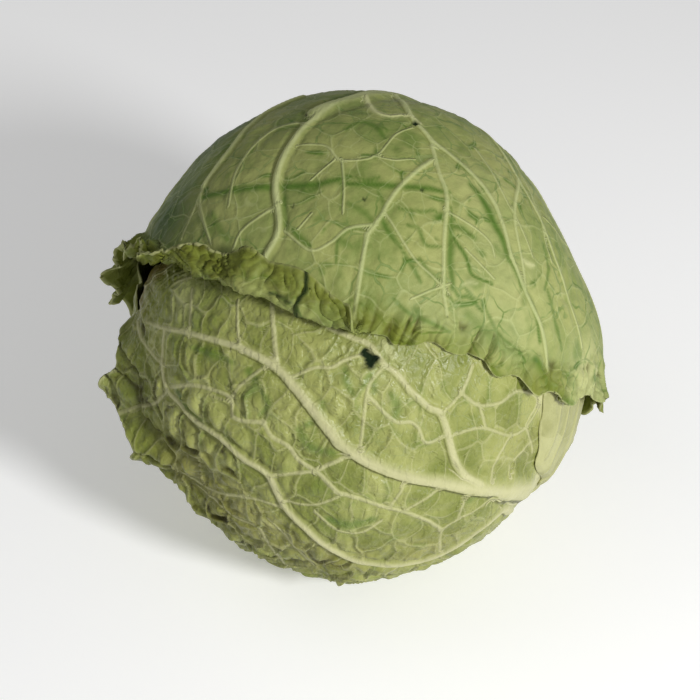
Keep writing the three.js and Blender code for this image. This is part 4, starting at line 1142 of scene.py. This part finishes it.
def group_material(name, group, inputs, specular):
    """A material whose colour, roughness and soft bump come from a shader group."""
    material = bpy.data.materials.new(name)
    material.use_nodes = True
    g = Graph(material.node_tree)
    shader = material.node_tree.nodes["Principled BSDF"]
    made = g.node("ShaderNodeGroup", node_tree=group)
    for key, value in inputs.items():
        g.feed(made.inputs[key], value)
    bump = g.node("ShaderNodeBump", {"Strength": 1.0, "Distance": MM, "Height": made.outputs["Height"]})
    g.feed(shader.inputs["Base Color"], made.outputs["Color"])
    g.feed(shader.inputs["Roughness"], made.outputs["Roughness"])
    g.feed(shader.inputs["Normal"], bump.outputs["Normal"])
    g.feed(shader.inputs["Specular IOR Level"], specular)
    return material


def leaf_material(node, colours):
    """The leaf tissue with the colours and numbers of one leaf, or of the heart."""
    deep, light, vein, dull = OWN_COLOURS.get(node, COMMON_COLOURS)
    named = {"Deep": deep, "Light": light, "Vein": vein, "Streak": "streak", "Margin": "margin",
             "Crease shade": "crease_shade", "Pale": "paler", "Dull": dull}
    inputs = {key: tuple(getattr(colours, name)) for key, name in named.items()}
    numbers, specular = TISSUE[node]
    inputs.update(zip(TISSUE_NUMBERS, numbers))
    return group_material(node, leaf_tissue_group(), inputs, specular)


def stalk_group():
    """Colour, roughness and height of cut stalk: pale flesh, a ring of strands, a dried rim."""
    g, given, results = new_group("Stalk flesh", ("Flesh", "Skin", "Dry"))
    place = g.place()
    radial, cut = g.attribute("radial"), g.attribute("cut")
    broad = g.noise(place, 90, 3)
    grain = g.noise(place, 900, 3, 0.65)
    strands = g.cells(g.warp(place, 300, 0.001), 620)
    ring = g.times(g.between(radial, 0.62, 0.74), g.between(radial, 0.9, 0.8))
    flesh = g.mix(g.between(broad, 0.35, 0.7, 0, 0.35), given["Flesh"], given["Skin"])
    flesh = g.mix(g.times(ring, g.between(strands, 0.12, 0.02, 0, 0.75)), flesh, given["Dry"])
    flesh = g.mix(g.between(radial, 0.3, 0.1, 0, 0.35), flesh, given["Dry"])
    edge = g.times(g.between(radial, 0.84, 0.98), g.between(broad, 0.3, 0.55, 0.35, 0.9))
    flesh = g.mix(edge, flesh, given["Dry"])
    skin = g.mix(g.between(grain, 0.35, 0.65), given["Skin"], given["Flesh"])
    skin = g.mix(g.between(broad, 0.5, 0.75, 0, 0.5), skin, given["Dry"])
    colour = g.mix(cut, skin, flesh)
    g.feed(results["Color"], g.mix(g.between(grain, 0.5, 0.75, 0, 0.25), colour, given["Dry"]))
    g.feed(results["Roughness"], g.between(grain, 0.3, 0.7, 0.48, 0.72))
    g.feed(results["Height"], g.add(g.times(grain, 0.25), g.times(g.between(strands, 0, 0.2), 0.15)))
    return g.tree


def stalk_material(colours):
    """The stalk's flesh, skin and dried parts."""
    inputs = {"Flesh": tuple(colours.flesh), "Skin": tuple(colours.skin), "Dry": tuple(colours.dry)}
    return group_material("stalk", stalk_group(), inputs, STALK_SPECULAR)


def srgb(red, green, blue):
    """A colour given in 0 to 255, as the linear colour that a shader takes."""
    def linear(value):
        value /= 255
        return value / 12.92 if value <= 0.04045 else ((value + 0.055) / 1.055) ** 2.4
    return (linear(red), linear(green), linear(blue), 1.0)


# ---- settings ----
class SavoyShape(bpy.types.PropertyGroup):
    """Sizes of the dressed cabbage."""

    blade: bpy.props.FloatProperty(
        name="Blade", description="Thickness of a leaf", default=0.9 * MM, unit="LENGTH", precision=4)
    blister: bpy.props.FloatProperty(
        name="Blisters", description="Share of each leaf's blister height", default=1.0,
        subtype="FACTOR", min=0, max=2)
    vein: bpy.props.FloatProperty(
        name="Veins", description="Share of each vein's height", default=1.0,
        subtype="FACTOR", min=0, max=2)


class SavoyColours(bpy.types.PropertyGroup):
    """Colours of the dressed cabbage."""

    def colour(name, description, *value):
        return bpy.props.FloatVectorProperty(
            name=name, description=description, default=srgb(*value), subtype="COLOR",
            size=4, min=0, max=1)

    cap_deep: colour("Cap leaf, deep", "Darker green of the cap leaf", 124, 137, 74)
    cap_light: colour("Cap leaf, light", "Paler green of the cap leaf", 154, 159, 95)
    cap_vein: colour("Cap leaf, veins", "Pale green of the cap leaf's veins", 186, 192, 136)
    # Painted shade: this dark green darkens the cap leaf's shaded upper left, partly its own deeper
    # green.
    cap_shade_and_dull: colour("Cap leaf, dull", "Dark green of the cap leaf's older parts", 46, 76, 38)
    side_deep: colour("Side leaf, deep", "Darker tone of the side leaf's pale base", 147, 148, 94)
    side_light: colour("Side leaf, light", "Pale tone and veins of the side leaf", 175, 175, 123)
    front_deep: colour("Front leaf, deep", "Darker green of the front leaf", 113, 122, 52)
    front_light: colour("Front leaf, light", "Paler green of the front leaf", 155, 159, 92)
    vein: colour("Veins", "Cream of the veins", 190, 188, 142)
    streak: colour("Streaks", "Fresh green of wet streaks and bruises", 66, 102, 26)
    # Painted shade: this dark olive darkens the creases round the cells, the hollows and the shaded side
    # of thick veins.
    crease_shade: colour("Crease shading", "Dark olive of the creases beside the veins", 58, 56, 10)
    margin: colour("Margins", "Yellowish green of the crumpled margins", 112, 120, 44)
    # Also painted light: the positive tints lighten the lit right of the cap with this colour.
    paler: colour("Paler tissue", "Thin, pale tissue", 190, 192, 138)
    # Partly painted shade: the front leaf's lower part and the hollow under the frill are darkened with
    # this colour.
    dull: colour("Dull tissue", "Tissue that has gone dull and brownish", 112, 98, 44)
    flesh: colour("Stalk flesh", "Cream of the freshly cut stalk", 206, 198, 152)
    skin: colour("Stalk skin", "Pale green round the side of the stalk", 168, 170, 116)
    dry: colour("Stalk, dried", "Brown of the stalk's dried rim and strands", 142, 118, 70)


class SavoyStage(bpy.types.PropertyGroup):
    """Light and floor."""

    key: bpy.props.FloatProperty(
        name="Key light", description="Power of the main lamp", default=10.5, unit="POWER")
    fill: bpy.props.FloatProperty(
        name="Fill light", description="Power of the fill lamp", default=1.6, unit="POWER")
    sky: bpy.props.FloatProperty(
        name="Sky", description="Strength of the light from all round", default=0.22, min=0)
    glow: bpy.props.FloatProperty(
        name="Floor glow", description="Strength of the floor's own light", default=0.3, min=0)
    floor: bpy.props.FloatVectorProperty(
        name="Floor", description="Colour of the floor", default=(0.86, 0.86, 0.86, 1),
        subtype="COLOR", size=4, min=0, max=1)


# ---- operators ----
class SAVOY_OT_leaves(bpy.types.Operator):
    """Makes the four wrapper leaves"""

    bl_idname = "savoy.leaves"
    bl_label = "Make Wrapper Leaves"

    def execute(self, context):
        for leaf in LEAVES:
            mesh = leaf_mesh(leaf, context.scene.savoy_shape)
            mesh.materials.append(leaf_material(leaf.node, context.scene.savoy_colours))
            add_piece(mesh, leaf.node)
        return {"FINISHED"}


class SAVOY_OT_heart(bpy.types.Operator):
    """Makes the heart of tightly packed leaves"""

    bl_idname = "savoy.heart"
    bl_label = "Make Heart"

    def execute(self, context):
        mesh = heart_mesh()
        mesh.materials.append(leaf_material("heart", context.scene.savoy_colours))
        add_piece(mesh, "heart")
        return {"FINISHED"}


class SAVOY_OT_stalk(bpy.types.Operator):
    """Makes the cut stalk"""

    bl_idname = "savoy.stalk"
    bl_label = "Make Stalk"

    def execute(self, context):
        mesh = stalk_mesh()
        mesh.materials.append(stalk_material(context.scene.savoy_colours))
        add_piece(mesh, "stalk")
        return {"FINISHED"}


class SAVOY_OT_stage(bpy.types.Operator):
    """Makes the floor, the lamps and the camera"""

    bl_idname = "savoy.stage"
    bl_label = "Make Stage"

    def execute(self, context):
        settings = context.scene.savoy_stage
        add_floor(tuple(settings.floor), settings.glow)
        right, up, back = camera_axes()
        key_way = unit(0.54 * right - 0.04 * up + 0.84 * back)
        fill_way = unit(-0.7 * right + 0.6 * up + 0.4 * back)
        add_lamp("Key", settings.key, KEY_WIDTH, LAMP_AWAY * key_way)
        add_lamp("Fill", settings.fill, FILL_WIDTH, LAMP_AWAY * fill_way)
        world = bpy.data.worlds.new("Studio")
        world.use_nodes = True
        sky = world.node_tree.nodes["Background"]
        sky.inputs["Strength"].default_value = settings.sky
        sky.inputs["Color"].default_value = (1, 1, 1, 1)
        context.scene.world = world
        context.scene.view_settings.view_transform = "Standard"
        add_camera()
        return {"FINISHED"}


def add_floor(colour, glow):
    """Adds a wide floor that glows a little, so that it stays pale."""
    bm = bmesh.new()
    bmesh.ops.create_grid(bm, x_segments=1, y_segments=1, size=6)
    mesh = mesh_of(bm, "Floor")
    material = bpy.data.materials.new("Floor")
    material.use_nodes = True
    shader = material.node_tree.nodes["Principled BSDF"]
    for key, value in (("Base Color", colour), ("Roughness", FLOOR_ROUGHNESS),
                       ("Emission Color", colour), ("Emission Strength", glow)):
        shader.inputs[key].default_value = value
    mesh.materials.append(material)
    floor = add_object("Floor", mesh)


def add_lamp(name, power, width, place):
    """Adds a round lamp that stands at this place from the head's centre and shines on it."""
    lamp = bpy.data.lights.new(name, "AREA")
    lamp.energy = power
    lamp.shape = "DISK"
    lamp.size = width
    holder = add_object(name, lamp)
    holder.location = Vector(HEAD_CENTRE * MM) + Vector(place)
    holder.rotation_euler = Vector(-place).to_track_quat("-Z", "Y").to_euler()


def add_camera():
    """Adds the camera, aimed so that the head's centre shows at its pixel."""
    camera = bpy.data.cameras.new("Camera")
    camera.sensor_width = SENSOR
    camera.lens = SENSOR * FOCAL_PIXELS / IMAGE
    camera.shift_x = (IMAGE / 2 - CENTRE_PIXEL[0]) / IMAGE
    camera.shift_y = (CENTRE_PIXEL[1] - IMAGE / 2) / IMAGE
    holder = add_object("Camera", camera)
    _, _, back = camera_axes()
    holder.location = Vector((HEAD_CENTRE + back * CAMERA_DISTANCE) * MM)
    holder.rotation_euler = (math.radians(90 - CAMERA_ELEVATION), 0, 0)
    bpy.context.scene.camera = holder


class SAVOY_PT_panel(bpy.types.Panel):
    """Lists the makers of the cabbage"""

    bl_idname = "SAVOY_PT_panel"
    bl_label = "Savoy Cabbage"
    bl_space_type = "VIEW_3D"
    bl_region_type = "UI"
    bl_category = "Savoy"

    def draw(self, context):
        for maker in MAKERS:
            self.layout.operator(maker.bl_idname)


MAKERS = (SAVOY_OT_leaves, SAVOY_OT_heart, SAVOY_OT_stalk, SAVOY_OT_stage)
CLASSES = (SavoyShape, SavoyColours, SavoyStage, *MAKERS, SAVOY_PT_panel)


def register():
    for made in CLASSES:
        bpy.utils.register_class(made)
    bpy.types.Scene.savoy_shape = bpy.props.PointerProperty(type=SavoyShape)
    bpy.types.Scene.savoy_colours = bpy.props.PointerProperty(type=SavoyColours)
    bpy.types.Scene.savoy_stage = bpy.props.PointerProperty(type=SavoyStage)


def unregister():
    del bpy.types.Scene.savoy_shape
    del bpy.types.Scene.savoy_colours
    del bpy.types.Scene.savoy_stage
    for made in reversed(CLASSES):
        bpy.utils.unregister_class(made)


def main():
    register()
    bpy.ops.savoy.leaves()
    bpy.ops.savoy.heart()
    bpy.ops.savoy.stalk()
    bpy.ops.savoy.stage()


if __name__ == "__main__":
    main()
